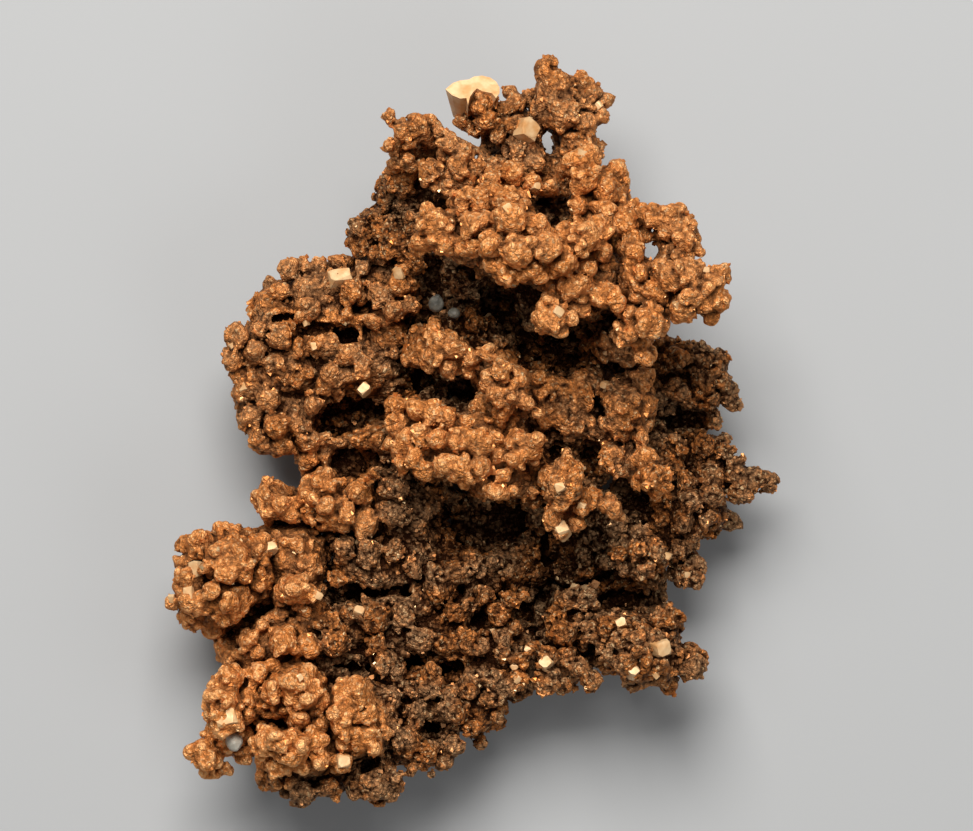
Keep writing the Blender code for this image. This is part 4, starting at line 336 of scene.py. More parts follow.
        (28.2, -4.3, 9.5, 1.2), (29.8, -5.1, 9.5, 1.3), (27.5, -5.4, 10, 1.3), (26.3, -6.4, 10, 1.4),
        (23.8, -4.5, 11, 1.7), (21.7, -5.3, 11, 1.4), (24, -6.6, 11.5, 1.8), (22, -7.2, 12, 1.8),
        (23.6, -8.8, 11.5, 1.5), (21, -9, 12, 1.7), (22, -11, 11, 1.6), (20.5, -12, 10.5, 1.4),
        (21.6, -14.6, 10, 1.4), (22.5, -13.6, 9.5, 0.8), (26.3, -9.2, 6.5, 1.3), (27.3, -9.8, 6.5, 0.9),
        (19.2, -8.9, 12.5, 1.2), (14.7, -12.3, 15.5, 1.3), (16.3, -12, 16.5, 1.5), (18.3, -12.1, 16, 1.4),
        (19.3, -12.9, 15, 0.8), (17.2, -13.7, 16, 1.3), (18.5, -10.9, 15, 0.8), (15, -13.7, 14.5, 1.1),
        (14.8, -15.9, 10, 1.1), (18.5, -15.9, 10, 0.9), (16.5, -10.3, 14, 1.2),
    ],
    "floor_of_the_hollows": [
        (0.4, 11.4, 14.5, 1.3), (-1.2, 14.6, 14.5, 1.4), (3.6, 12.9, 16.5, 1.2), (11.2, -12.4, 8.5, 1.5),
        (9, -14.6, 8.5, 1.2), (11.2, -14.3, 8.5, 1), (13.2, -13.2, 9.5, 1.3), (6.4, -16.9, 7.5, 0.9),
        (-2.4, 3.2, 14.5, 1.1), (12.2, -10.6, 10.5, 1.3),
    ],
}

# Slots between the knobs: the ends of the middle line as x, y, x, y, half the width, and the bottom's height.
# Those with a bottom below the table go right through.
SLOTS = [
    (-14.2, 1.4, -9.8, 2.1, 1.15, 6.5), (-6.3, 5.1, -5, 4.6, 1.15, 7.5), (-5, 4.5, -0.7, 3.4, 0.75, 9),
    (-4, 15.2, -3.7, 14.4, 1.1, 8.5), (1.6, 13.2, 4.4, 10.3, 1.2, 7.5), (4.4, 10.3, 6.1, 8.3, 1.15, 7.5),
    (6.1, 8.2, 9.3, 7.4, 1.2, 8), (9.3, 7.6, 10.7, 9.3, 0.8, 10), (10.7, 9.6, 13.5, 11, 0.6, 13),
    (4.4, 13.7, 6.6, 14, 0.6, 17), (6.8, 22.2, 8.3, 21, 0.9, 13), (-6.8, 28, -4.2, 27.6, 0.45, 17),
    (1.5, 28.9, 2.6, 27.8, 0.75, 14.5), (-5.4, 24.8, -2.9, 22.3, 0.45, 15),
    (7.5, 29.3, 7.7, 28.3, 0.55, -9), (-1.6, -9.3, 3.6, -9.3, 1.7, 5), (0.8, -8.6, 4.6, -8.4, 1.2, 5.5),
    (-2, -10.8, 0.5, -11.2, 0.8, 6), (5.2, -18.4, 6.6, -17.2, 1.2, 3.5), (7.4, -13.4, 7.6, -11.8, 0.6, 4),
    (11.3, -2.4, 12.3, -4.4, 0.85, 10.5), (12.2, -4.8, 15, -5.6, 0.75, 10.5),
    (15.9, -6.8, 17, -7.6, 0.95, 8.5), (13.6, -17.1, 19, -17, 0.6, 5), (19.5, 1.3, 23.4, 1.4, 0.7, 6),
    (17.75, 17.8, 17.9, 18, 0.55, -9), (-2.7, 30.8, 0.4, 28.9, 0.35, -9),
    (-12, -16.2, -10.8, -16.4, 0.45, 7), (-10.6, -16.5, -6.8, -16.1, 0.2, 7.5),
    (-1.6, -16.9, -1.2, -15.9, 0.5, 5), (0.7, -19, 1, -18.6, 0.7, 5), (-6.8, -23.6, -5.8, -23.3, 0.35, 7),
    (-3, -24, -1.8, -23.7, 0.45, 6.5), (-14, -23.7, -10.7, -23.9, 0.1, 9),
    (-4.3, -30.3, -3.8, -30.4, 0.2, 8.5), (12.1, -22.2, 12.1, -22.9, 0.5, 8),
    (-10.6, -33.5, -10, -33.3, 0.7, 9.5), (-21.2, -28.8, -18.8, -29.4, 0.1, 13),
    (-18.6, -18.6, -18.5, -18.5, 0.55, 10), (-13.2, 9.6, -12.6, 9.4, 0.3, 10),
    (-19.8, 11.3, -17.8, 11.4, 0.1, 12.4), (-16.9, 10.2, -13.8, 10.1, 0.1, 12.8),
    (-11.5, 12.2, -10.3, 12.2, 0.1, 12.4), (-13.5, -3.4, -12.3, -3.6, 0.6, 7.5),
    (-10, -2.8, -8.6, -3.2, 0.6, 9), (-24.4, -20.3, -20.6, -17.6, 0.45, 8.5),
    (-3.8, -5.9, -2.6, -5.9, 0.55, 14), (12.2, 2.7, 12.6, 1.6, 0.3, 14), (8, -0.7, 8.2, -2.6, 0.4, 12.5),
]

# Resting knobs: x, y, radius.
FEET = [
    (-20.5, -25, 3.6), (15, -20, 3.4), (20, -3.5, 3.2), (-17, 9.5, 3.6), (6, 24, 3.6), (0.5, -2, 3.6),
]

# Knobs scattered over the back, as in the solid.
BACK_TRIES, BACK_RADII = 420, (1.1, 2.4)
BACK_WIDTH, BACK_LENGTH, BACK_GRID = 62.0, 76.0, 0.7
BACK_RISE = 0.3  # height of such a knob's middle above the lowest copper, in its radius
BACK_FLOOR = 0.3  # its least distance from the table

# How each cluster looks: how bright its copper is, and the middle radius of the finer lumps that cover it.
TEXTURE = {
    "crown": (0.72, 0.46),
    "cut_stub": (0.60, 0.46),
    "upper_left_spur": (0.72, 0.48),
    "left_shoulder": (0.38, 0.42),
    "front_cluster": (0.90, 0.54),
    "upper_right_cluster": (0.90, 0.54),
    "right_arm": (0.86, 0.60),
    "right_column": (0.74, 0.52),
    "middle_ridge": (0.85, 0.50),
    "lower_ridge": (0.90, 0.50),
    "left_wing": (0.70, 0.40),
    "lower_left_lobes": (0.90, 0.48),
    "foot_cluster": (1.12, 0.54),
    # painted shade: the rim's knobs face down, away from the light above, so their copper is made dark
    "foot_rim": (0.42, 0.50),
    "lower_bed": (0.40, 0.42),
    "lower_right": (0.45, 0.46),
    "right_flank": (0.36, 0.42),
    # darkest copper, deep in the hollows: dark oxide there, and painted shade
    "floor_of_the_hollows": (0.0, 0.42),
}
BACK_LOOK = (0.35, 0.55)  # brightness and finer radius where no front knob is near
BACK_START, BACK_FADE = 1.0, 4.0  # how far from the front knobs that look begins, and over what distance
LOOK_BLEND = 0.7  # distance over which neighbouring clusters' looks blend
LOOK_BATCH = 20000  # points that are worked out at a time

FINE_LUMPS = 13000
FINE_SPREAD = (0.45, 1.5)  # smallest and largest finer lump, in middle radii
FINE_STRETCH = (0.65, 1.4)  # its half-widths along its own axes, in its radius; dark lumps stretch more
FINE_SINK = (0.0, 0.8)  # how deep its middle lies under the surface, in its radius
FINE_ROUNDNESS = (0.3, 0.4)  # roundness of the darkest lumps, and what full brightness adds
LUMP_REACH = 1.9  # size of the block that a lump changes, in its radius
PITS = 5500
PIT_RADII = (0.22, 0.55)
PIT_RISE = 0.3  # height of a pit's middle above the surface
PIT_LIMIT = 0.55  # brighter copper has no pits
ROUGH_WAVES = [(2.6, 0.36), (1.1, 0.22)]  # wavelength and height of the unevenness
WRINKLES = [(0.9, 0.17), (0.55, 0.10)]  # the same, over the finer lumps
DEEPENING = [(1.1, 0.56, 1.2), (0.4, 0.52, 0.5)]  # reach, least crowding and gain of the creases' deepening

GROOVE_SPACING, GROOVE_WIDTH = 0.8, 0.25  # of the noise whose zero surfaces are the grooves
GROOVE_DEPTHS = (0.25, 0.12)  # where the copper is dark, and where it is bright
LOOK_STEP = 1.5  # spacing of the lattice at which the grooves' depths are worked out

# Grains: tiny flat-faced crystals, sunk in the skin, most of them where the copper is dark.
GRAIN_COUNT = 18000
GRAIN_SPACING = 0.5
GRAIN_RADII = (0.15, 0.32)
GRAIN_JITTER = 0.3  # how far a grain's corners stray from a cube's
GRAIN_RISE = (-0.8, 0.05)  # how high its middle stands, in its size
GRAIN_STRETCH = (0.65, 1.3)
GRAIN_SHAPES = 7
GRAIN_BANDS = 3
BRIGHT_SHARE = 0.30  # share of the grains kept in the brightest clusters
SHARE_SLOPE, SHARE_START = 1.4, 0.25  # how fast that share falls with brightness, and how late it starts
LOOKS_DOWN = -0.2  # a grain looks down when the way out of the copper rises less than this
BACK_SHARE, BACK_GROWTH = 0.12, 1.6  # such grains: their share, and how much larger they are

# Hollows and creases: the distance over which copper is looked for, and what turns its share into a shade.
# The material darkens hollows with oxide and painted shade, and creases with painted shade.
FAR_REACH, HOLLOW_START, HOLLOW_GAIN = 2.2, 0.36, 1.9
NEAR_REACH, CREASE_MIDDLE, CREASE_GAIN = 0.5, 0.5, 5.0


def grid_axes():
    """Grid coordinates along X, Y and Z that hold the whole nugget; one Z plane is exactly the table."""
    low = np.array(CAD_BOX[0]) / MM - GRID_MARGIN
    high = np.array(CAD_BOX[1]) / MM + GRID_MARGIN
    low = np.floor(low / GRID_STEP) * GRID_STEP
    return [np.arange(a, b, GRID_STEP, dtype=np.float32) for a, b in zip(low, high)]


def block_round(axes, low, high):
    """Slices of the grid between two corners, and the coordinates there, ready to broadcast."""
    cuts = tuple(slice(*np.searchsorted(axis, (a, b))) for axis, a, b in zip(axes, low, high))
    return cuts, np.ix_(*(axis[cut] for axis, cut in zip(axes, cuts)))


def smooth_least(a, b, width):
    """The smaller of two distances, rounded where they are nearly equal."""
    near = np.maximum(width - np.abs(a - b), 0.0) / width
    return np.minimum(a, b) - near * near * width / 4


def add_ball(field, axes, ball):
    """Joins a ball to the copper."""
    cut, distance = ball_block(axes, ball, CREASE)
    field[cut] = smooth_least(field[cut], distance, CREASE)


def take_ball(field, axes, ball, crease):
    """Takes a ball out of the copper."""
    cut, distance = ball_block(axes, ball, crease)
    field[cut] = -smooth_least(-field[cut], distance, crease)


def ball_block(axes, ball, width):
    """The part of the grid that a ball changes, and the distance to the ball there."""
    x, y, z, radius = ball
    reach = np.full(3, radius + 4 * width)
    cut, (gx, gy, gz) = block_round(axes, (x, y, z) - reach, (x, y, z) + reach)
    return cut, np.sqrt((gx - x) ** 2 + (gy - y) ** 2 + (gz - z) ** 2) - radius


def add_lump(field, axes, middle, radius, turn, roundness):
    """Adds a lump, turned and stretched: from a block with cut-off corners, 0, to an egg, 1."""
    reach = LUMP_REACH * radius + 4 * FINE_CREASE
    cut, coordinates = block_round(axes, middle - reach, middle + reach)
    offsets = np.stack(np.broadcast_arrays(*(g - m for g, m in zip(coordinates, middle))))
    turned = np.abs(np.tensordot(turn, offsets, axes=1))
    block = np.maximum(turned.max(axis=0), turned.sum(axis=0) / 2)
    egg = np.sqrt((turned * turned).sum(axis=0))
    distance = block + (egg - block) * roundness - radius
    field[cut] = smooth_least(field[cut], distance, FINE_CREASE)


def goes_through(slot):
    """Whether a slot's bottom is below the table."""
    return slot[-1] < 0


def take_slot(field, axes, slot, wobble):
    """Cuts a slot with round ends, open upwards, whose walls stray by wobble unless that is None."""
    x0, y0, x1, y1, radius, bottom = slot
    low = (min(x0, x1) - SLOT_REACH, min(y0, y1) - SLOT_REACH, axes[2][0])
    high = (max(x0, x1) + SLOT_REACH, max(y0, y1) + SLOT_REACH, axes[2][-1] + 1)
    cut, (gx, gy, gz) = block_round(axes, low, high)
    along = ((gx - x0) * (x1 - x0) + (gy - y0) * (y1 - y0)) / ((x1 - x0) ** 2 + (y1 - y0) ** 2)
    along = np.clip(along, 0.0, 1.0)
    side = np.hypot(gx - x0 - along * (x1 - x0), gy - y0 - along * (y1 - y0)) - radius
    if wobble is not None:
        side = side + wobble[cut] * min(radius, SLOT_WOBBLE) - SLOT_GROWTH
    space = np.maximum(side, bottom - gz)
    field[cut] = -smooth_least(-field[cut], space, min(radius, SLOT_CREASE))


def back_knobs(field, axes):
    """Knobs scattered over the underside, where lines up from the table meet copper, inside the outline."""
    draw = np.random.default_rng(SEED)
    inside = field < 0
    covered = inside.any(axis=2)
    lowest = axes[2][inside.argmax(axis=2)]
    knobs = []
    for _ in range(BACK_TRIES):
        x = draw.uniform(-BACK_WIDTH / 2, BACK_WIDTH / 2)
        y = draw.uniform(-BACK_LENGTH / 2, BACK_LENGTH / 2)
        radius = draw.uniform(*BACK_RADII)
        i, j = np.searchsorted(axes[0], x), np.searchsorted(axes[1], y)
        reach = math.ceil(math.ceil(radius / BACK_GRID) * BACK_GRID / GRID_STEP)
        if covered[max(i - reach, 0):i + reach + 1, max(j - reach, 0):j + reach + 1].all():
            height = max(lowest[i, j] + BACK_RISE * radius, radius + BACK_FLOOR)
            knobs.append((x, y, height, radius))
    return knobs


def lattice_counts(axes, spacing):
    """How many points a coarse lattice over the grid has along each axis."""
    return [int((axis[-1] - axis[0]) / spacing) + 4 for axis in axes]


def filled_in(values, axes, spacing):
    """Values of a coarse lattice at each grid point, by cubic blending."""
    for k, axis in enumerate(axes):
        place = (axis - axis[0]) / spacing
        cell = place.astype(int)
        part = (place - cell)[:, None]
        weights = np.zeros((len(axis), values.shape[k]), np.float32)
        rows = np.arange(len(axis))[:, None]
        blend = np.hstack([
            (1 - part) ** 3, 3 * part ** 3 - 6 * part ** 2 + 4,
            -3 * part ** 3 + 3 * part ** 2 + 3 * part + 1, part ** 3,
        ]) / 6
        weights[rows, cell[:, None] + np.arange(4)] = blend
        values = np.moveaxis(np.tensordot(weights, values, axes=(1, k)), 0, k)
    return values


def noise_grid(axes, wavelength, seed):
    """Smooth random values, mostly between -1 and 1, at each grid point."""
    draw = np.random.default_rng(seed)
    values = draw.uniform(-1, 1, lattice_counts(axes, wavelength)).astype(np.float32)
    return filled_in(values, axes, wavelength) * NOISE_SPAN


def grooves(axes):
    """Depth of the winding grooves that part the skin into granules: deepest where the copper is dark."""
    counts = lattice_counts(axes, LOOK_STEP)
    lattice = [axis[0] + (np.arange(count) - 1) * LOOK_STEP for axis, count in zip(axes, counts)]
    places = np.stack(np.meshgrid(*lattice, indexing="ij"), axis=-1).reshape(-1, 3)
    bright = filled_in(looks_at(places.astype(np.float32))[:, 0].reshape(counts), axes, LOOK_STEP)
    deep, shallow = GROOVE_DEPTHS
    near = np.maximum(1 - np.abs(noise_grid(axes, GROOVE_SPACING, SEED + 8)) / GROOVE_WIDTH, 0)
    return near * (deep + (shallow - deep) * bright)


def knob_table():
    """All the front knobs with their cluster's look: positions, radii, brightness and finer radius."""
    rows = [(*ball, *TEXTURE[name]) for name, cluster in KNOBS.items() for ball in cluster]
    table = np.array(rows, np.float32)
    return table[:, :3], table[:, 3], table[:, 4:]


def looks_at(points):
    """Brightness and finer radius at each point, blended from the nearest knobs."""
    centres, radii, looks = knob_table()
    result = np.empty((len(points), 2), np.float32)
    for start in range(0, len(points), LOOK_BATCH):
        part = points[start:start + LOOK_BATCH]
        away = np.linalg.norm(part[:, None] - centres[None], axis=2) - radii
        nearest = away.min(axis=1, keepdims=True)
        weight = np.exp(-(away - nearest) / LOOK_BLEND)
        blended = weight @ looks / weight.sum(axis=1, keepdims=True)
        far = np.clip((nearest - BACK_START) / BACK_FADE, 0, 1)
        result[start:start + LOOK_BATCH] = blended * (1 - far) + np.array(BACK_LOOK, np.float32) * far
    return result


def coarse_field(axes):
    """Distance to the nugget's main shape at each grid point, negative inside."""
    field = np.full([len(axis) for axis in axes], 4 * CREASE, np.float32)
    for ball in CORE:
        add_ball(field, axes, ball)
    for ball in CHAMBERS:
        take_ball(field, axes, ball, CREASE)
    for x, y, radius in FEET:
        add_ball(field, axes, (x, y, radius - FOOT_SINK, radius))
    for cluster in KNOBS.values():
        for ball in cluster:
            add_ball(field, axes, ball)
    for ball in back_knobs(field, axes):
        add_ball(field, axes, ball)
    wobble = noise_grid(axes, SLOT_WAVE, SEED + 5)
    for slot in SLOTS:
        if not goes_through(slot):
            take_slot(field, axes, slot, wobble)
    return field + ALLOWANCE


def crossings(field):
    """Grid edges along each axis where the surface passes: axis, first points, and where it crosses."""
    found = []
    for a in range(3):
        low = [slice(None)] * 3
        high = [slice(None)] * 3
        low[a], high[a] = slice(None, -1), slice(1, None)
        where = np.argwhere((field[tuple(low)] < 0) != (field[tuple(high)] < 0))
        step = np.eye(3, dtype=int)[a]
        near = field[tuple(where.T)]
        far = field[tuple((where + step).T)]
        found.append((a, where, near, where + np.outer(near / (near - far), step)))
    return found


def surface_of(field, axes):
    """Points and quads of the surface where the field changes sign: one point in each crossed grid cell."""
    cells, spots = [], []
    steps = np.eye(3, dtype=int)
    for a, where, near, spot in crossings(field):
        b, c = steps[(a + 1) % 3], steps[(a + 2) % 3]
        corners = [where - b - c, where - c, where, where - b]
        index = np.stack([np.ravel_multi_index(corner.T, field.shape) for corner in corners], axis=1)
        cells.append(np.where((near < 0)[:, None], index, index[:, ::-1]))
        spots.append(spot)
    cells = np.concatenate(cells)
    spots = np.repeat(np.concatenate(spots), 4, axis=0)
    used, quads = np.unique(cells, return_inverse=True)
    quads = quads.reshape(cells.shape)
    count = np.bincount(quads.ravel())
    points = np.stack([np.bincount(quads.ravel(), spots[:, k]) / count for k in range(3)], axis=1)
    corner = np.array([axis[0] for axis in axes])
    return (points * GRID_STEP + corner).astype(np.float32), quads


def value_at(field, axes, points):
    """The field at points, blended between the eight grid points round each."""
    corner = np.array([axis[0] for axis in axes])
    place = np.clip((points - corner) / GRID_STEP, 0, np.array(field.shape) - 1.001)
    cell = place.astype(int)
    part = place - cell
    total = np.zeros(len(points))
    for i in (0, 1):
        for j in (0, 1):
            for k in (0, 1):
                weight = np.abs(1 - i - part[:, 0]) * np.abs(1 - j - part[:, 1]) * np.abs(1 - k - part[:, 2])
                total += weight * field[cell[:, 0] + i, cell[:, 1] + j, cell[:, 2] + k]
    return total


def outward(field, axes, points):
    """Unit directions out of the surface."""
    slope = np.stack([
        value_at(field, axes, points + step) - value_at(field, axes, points - step)
        for step in np.eye(3) * GRID_STEP
    ], axis=1)
    return slope / np.maximum(np.linalg.norm(slope, axis=1, keepdims=True), 1e-9)


def fine_field(field, axes):
    """Adds unevenness, finer lumps, pits, grooves and wrinkles to the main shape, and keeps it in its box."""
    draw = np.random.default_rng(SEED + 1)
    for (wavelength, height), seed in zip(ROUGH_WAVES, (SEED + 2, SEED + 3)):
        field += height * noise_grid(axes, wavelength, seed)
    deepen(field, *DEEPENING[0])
    points, _ = surface_of(field, axes)
    points = points[draw.permutation(len(points))[:FINE_LUMPS + PITS]]
    out = outward(field, axes, points)
    lumps, lump_out = points[:FINE_LUMPS], out[:FINE_LUMPS]
    looks = looks_at(lumps)
    radii = looks[:, 1] * draw.uniform(*FINE_SPREAD, len(lumps))
    middles = lumps - lump_out * (radii * draw.uniform(*FINE_SINK, len(lumps)))[:, None]
    stretch = draw.uniform(*FINE_STRETCH, (len(lumps), 3)) ** (2 - looks[:, :1])
    turns = random_turns(draw, len(lumps)) / stretch[:, :, None]
    least, gain = FINE_ROUNDNESS
    for middle, radius, turn, bright in zip(middles, radii, turns, looks[:, 0]):
        add_lump(field, axes, middle, radius, turn, least + gain * bright)
    pits = points[FINE_LUMPS:] + out[FINE_LUMPS:] * PIT_RISE
    pits = pits[looks_at(pits)[:, 0] < PIT_LIMIT]
    for pit, radius in zip(pits, draw.uniform(*PIT_RADII, len(pits))):
        take_ball(field, axes, (*pit, radius), FINE_CREASE)
    deepen(field, *DEEPENING[1])
    field += grooves(axes)
    for (wavelength, height), seed in zip(WRINKLES, (SEED + 9, SEED + 10)):
        field += height * noise_grid(axes, wavelength, seed)
    for name in MINERALS:
        (x, y, z), radius = socket_of(name)
        take_slot(field, axes, (x, y, x + SOCKET_STRETCH, y, radius, z), None)
    for slot in filter(goes_through, SLOTS):  # last, so that no lump fills them
        take_slot(field, axes, slot, None)
    return kept_in_box(field, axes)


def deepen(field, reach, least, gain):
    """Wears the surface back in creases, so that the knobs beside them stand out."""
    depth = np.clip(field / (2 * reach), -0.5, 0.5)
    field += gain * np.maximum(crowding(field, reach) + depth - least, 0)


def socket_of(name):
    """Middle and least half-width, in millimetres, of a mineral grain's solid."""
    points = points_of(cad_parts[name].data)
    low, high = points.min(axis=0), points.max(axis=0)
    return (low + high) / 2, (high - low)[:2].min() / 2


def random_turns(draw, count):
    """Random rotation matrices, from random quaternions."""
    q = draw.normal(size=(count, 4))
    w, x, y, z = (q / np.linalg.norm(q, axis=1, keepdims=True)).T
    return np.stack([
        1 - 2 * (y * y + z * z), 2 * (x * y - w * z), 2 * (x * z + w * y),
        2 * (x * y + w * z), 1 - 2 * (x * x + z * z), 2 * (y * z - w * x),
        2 * (x * z - w * y), 2 * (y * z + w * x), 1 - 2 * (x * x + y * y),
    ], axis=1).reshape(count, 3, 3)


def box_limits():
    """Lowest and highest corners, in millimetres, that the copper stays within."""
    low = np.array(CAD_BOX[0]) / MM + (BOX_CLEARANCE, BOX_CLEARANCE, 0)
    return low, np.array(CAD_BOX[1]) / MM - BOX_CLEARANCE


def kept_in_box(field, axes):
    """Cuts off what would stand outside the solid's box, and wears the resting knobs flat at the table."""
    low, high = box_limits()
    for k, axis in enumerate(axes):
        shape = [1, 1, 1]
        shape[k] = -1
        outside = np.maximum(low[k] - axis, axis - high[k]).reshape(shape)
        np.maximum(field, outside, out=field)
    return field


def crowding(field, reach):
    """Share of copper within a box of that reach round each grid point: low on knobs, high in hollows."""
    share = (field < 0).astype(np.float32)
    width = max(int(round(reach / GRID_STEP)), 1)
    for k in range(3):
        padded = np.insert(np.cumsum(share, axis=k, dtype=np.float32), 0, 0, axis=k)
        count = share.shape[k]
        high = np.minimum(np.arange(count) + width + 1, count)
        low = np.maximum(np.arange(count) - width, 0)
        share = (np.take(padded, high, axis=k) - np.take(padded, low, axis=k)) / (2 * width + 1)
    return share


def new_mesh(name, points, faces):
    """A mesh of all-triangle or all-quad faces, from millimetres."""
    mesh = bpy.data.meshes.new(name)
    mesh.vertices.add(len(points))
    mesh.vertices.foreach_set("co", (np.asarray(points, np.float32) * MM).ravel())
    sides = faces.shape[1]
    mesh.loops.add(faces.size)
    mesh.loops.foreach_set("vertex_index", faces.astype(np.int32).ravel())
    mesh.polygons.add(len(faces))
    mesh.polygons.foreach_set("loop_start", np.arange(len(faces), dtype=np.int32) * sides)
    mesh.update(calc_edges=True)
    return mesh


def new_object(name, mesh, *materials):
    """An object in the scene, with its materials."""
    thing = bpy.data.objects.new(name, mesh)
    bpy.context.scene.collection.objects.link(thing)
    mesh.materials.clear()
    for material in materials:
        mesh.materials.append(material)
    return thing


def piece(name, mesh, slot, *materials):
    """A piece of the nugget, with its materials, attached to the root; slot is not used."""
    thing = new_object(name, mesh, *materials)
    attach(thing, "root")
    return thing


def points_of(mesh):
    """A mesh's points, in millimetres."""
    points = np.empty(len(mesh.vertices) * 3, np.float32)
    mesh.vertices.foreach_get("co", points)
    return points.reshape(-1, 3) / MM


def faces_of(mesh):
    """Vertex numbers of a mesh whose faces are all triangles."""
    faces = np.empty(len(mesh.polygons) * 3, np.int32)
    mesh.polygons.foreach_get("vertices", faces)
    return faces.reshape(-1, 3)


def set_values(mesh, name, values):
    """Stores one number per vertex, for the materials."""
    layer = mesh.attributes.new(name, "FLOAT", "POINT")
    layer.data.foreach_set("value", np.asarray(values, np.float32))


def largest_piece(points, faces):
    """Keeps the largest connected surface: loose crumbs and sealed bubbles go."""
    label = np.arange(len(points))
    while True:
        least = label[faces].min(axis=1)
        new = label.copy()
        for k in range(faces.shape[1]):
            np.minimum.at(new, faces[:, k], least)
        new = new[new]
        if (new == label).all():
            break
        label = new
    keep = label == np.bincount(label).argmax()
    number = np.cumsum(keep) - 1
    return points[keep], number[faces[keep[faces[:, 0]]]]


def thinned(points, quads, triangles):
    """The surface with fewer triangles: flat places lose most, knobs and edges least."""
    thing = new_object("full_surface", new_mesh("full_surface", points, quads))
    thin = thing.modifiers.new("fewer triangles", "DECIMATE")
    thin.ratio = min(triangles / (2 * len(quads)), 1.0)
    thin.use_collapse_triangulate = True
    evaluated = thing.evaluated_get(bpy.context.evaluated_depsgraph_get())
    mesh = bpy.data.meshes.new_from_object(evaluated)
    bpy.data.objects.remove(thing)
    return mesh


def bands_of(heights, count):
    """Which of count equally full bands each value falls in."""
    return np.searchsorted(np.quantile(heights, np.linspace(0, 1, count + 1)[1:-1]), heights)


def make_copper(surface, axes, hollows, creases):
    """The copper's skin as pieces that each cover a band of Y, with what the material needs to know."""
    thin = thinned(*surface, COPPER_TRIANGLES)
    points, faces = points_of(thin), faces_of(thin)
    normals = np.empty(len(points) * 3, np.float32)
    thin.vertex_normals.foreach_get("vector", normals)
    normals = normals.reshape(-1, 3)
    bpy.data.meshes.remove(thin)
    facts = {
        "bright": looks_at(points)[:, 0],
        "hollow": value_at(hollows, axes, points),
        "crease": value_at(creases, axes, points),
    }
    band = bands_of(points[faces].mean(axis=1)[:, 1], COPPER_BANDS)
    material = copper_material()
    for b in range(COPPER_BANDS):
        used, own = np.unique(faces[band == b], return_inverse=True)
        mesh = new_mesh(f"copper_{b + 1}", np.clip(points[used], *box_limits()), own.reshape(-1, 3))
        mesh.shade_smooth()
        mesh.normals_split_custom_set_from_vertices(normals[used])
        for name, values in facts.items():
            set_values(mesh, name, values[used])
        skin = piece(f"copper_{b + 1}", mesh, "patinated_copper", material)
        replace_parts(skin, "copper_nugget")


def hollowness(field):
    """How enclosed each grid point is, from 0 at a knob's tip to 1 deep in a hollow."""
    return np.clip((crowding(field, FAR_REACH) - HOLLOW_START) * HOLLOW_GAIN, 0, 1)


def creasing(field):
    """How far each grid point lies in a small crease, 1, or on a small bump, -1."""
    return np.clip((crowding(field, NEAR_REACH) - CREASE_MIDDLE) * CREASE_GAIN, -1, 1)


CREAM_FACES, GOLD_FACES, SIDE_FACES = 0, 1, 2  # a crystal's materials, by number

# Crystals with flat faces: x, y, z, half-sizes along their own axes, turn about X, Y and Z in degrees, shine.
# The shine is the pale colour of the faces that look up: clean copper, and painted reflection of the light
# above.
CRYSTALS = {
    "block_by_the_crown": (5.4, 30, 18.8, (1, 0.95, 0.9), (-25, 20, -28), CREAM_FACES),
    "plate_on_the_wing": (-13.4, 15.4, 13.9, (1.1, 0.7, 0.8), (-30, 8, 12), CREAM_FACES),
    "chip_by_the_spur": (-7.4, 15.9, 15.4, (0.5, 0.55, 0.6), (20, -20, 15), GOLD_FACES),
    "wedge_over_the_pit": (-10.9, 4.1, 15.8, (0.6, 0.45, 0.6), (-18, 12, 40), GOLD_FACES),
    "left_lobe_upper": (-27.7, -13.9, 14.9, (0.6, 0.8, 0.6), (-10, -30, 20), GOLD_FACES),
    "left_lobe_lower": (-28.3, -16.5, 15.8, (0.5, 0.75, 0.7), (-20, -25, 18), CREAM_FACES),
    "shelf_chip": (-20.5, -11.8, 14.4, (0.85, 0.45, 0.7), (-25, 5, 10), GOLD_FACES),
    "bed_chip": (-11.6, -18.2, 13.6, (0.5, 0.4, 0.6), (-30, 10, -15), GOLD_FACES),
    "hanging_tip": (8.9, -9.9, 20.5, (0.65, 0.75, 0.9), (-28, 10, 35), CREAM_FACES),
    "foot_hexagon": (-24.5, -28.6, 18.2, (1, 0.85, 0.8), (-18, -8, 15), GOLD_FACES),
    "foot_cube": (-13, -33.1, 17.3, (0.62, 0.6, 0.8), (-12, 10, 5), GOLD_FACES),
    "corner_wedge": (7.3, -23.4, 13.1, (0.6, 0.55, 0.6), (-20, 15, 42), GOLD_FACES),
    "boss_square": (15.8, -23.9, 16.7, (0.8, 0.55, 0.8), (-20, -12, -45), GOLD_FACES),
    "boss_crystal": (18.7, -21.7, 16.8, (0.75, 0.75, 0.9), (10, 25, 20), GOLD_FACES),
    "boss_chip": (14.9, -19.4, 14.2, (0.5, 0.45, 0.6), (-25, 0, 20), GOLD_FACES),
}
CORNER_CUT = 0.55  # how much of a crystal's edge its cut-off corners leave
CORNER_JITTER = (0.84, 1.08)  # how far a corner stands from the middle, against its proper place
UPWARD = 0.7  # a face whose normal rises more than this is bright: painted reflection of the light above
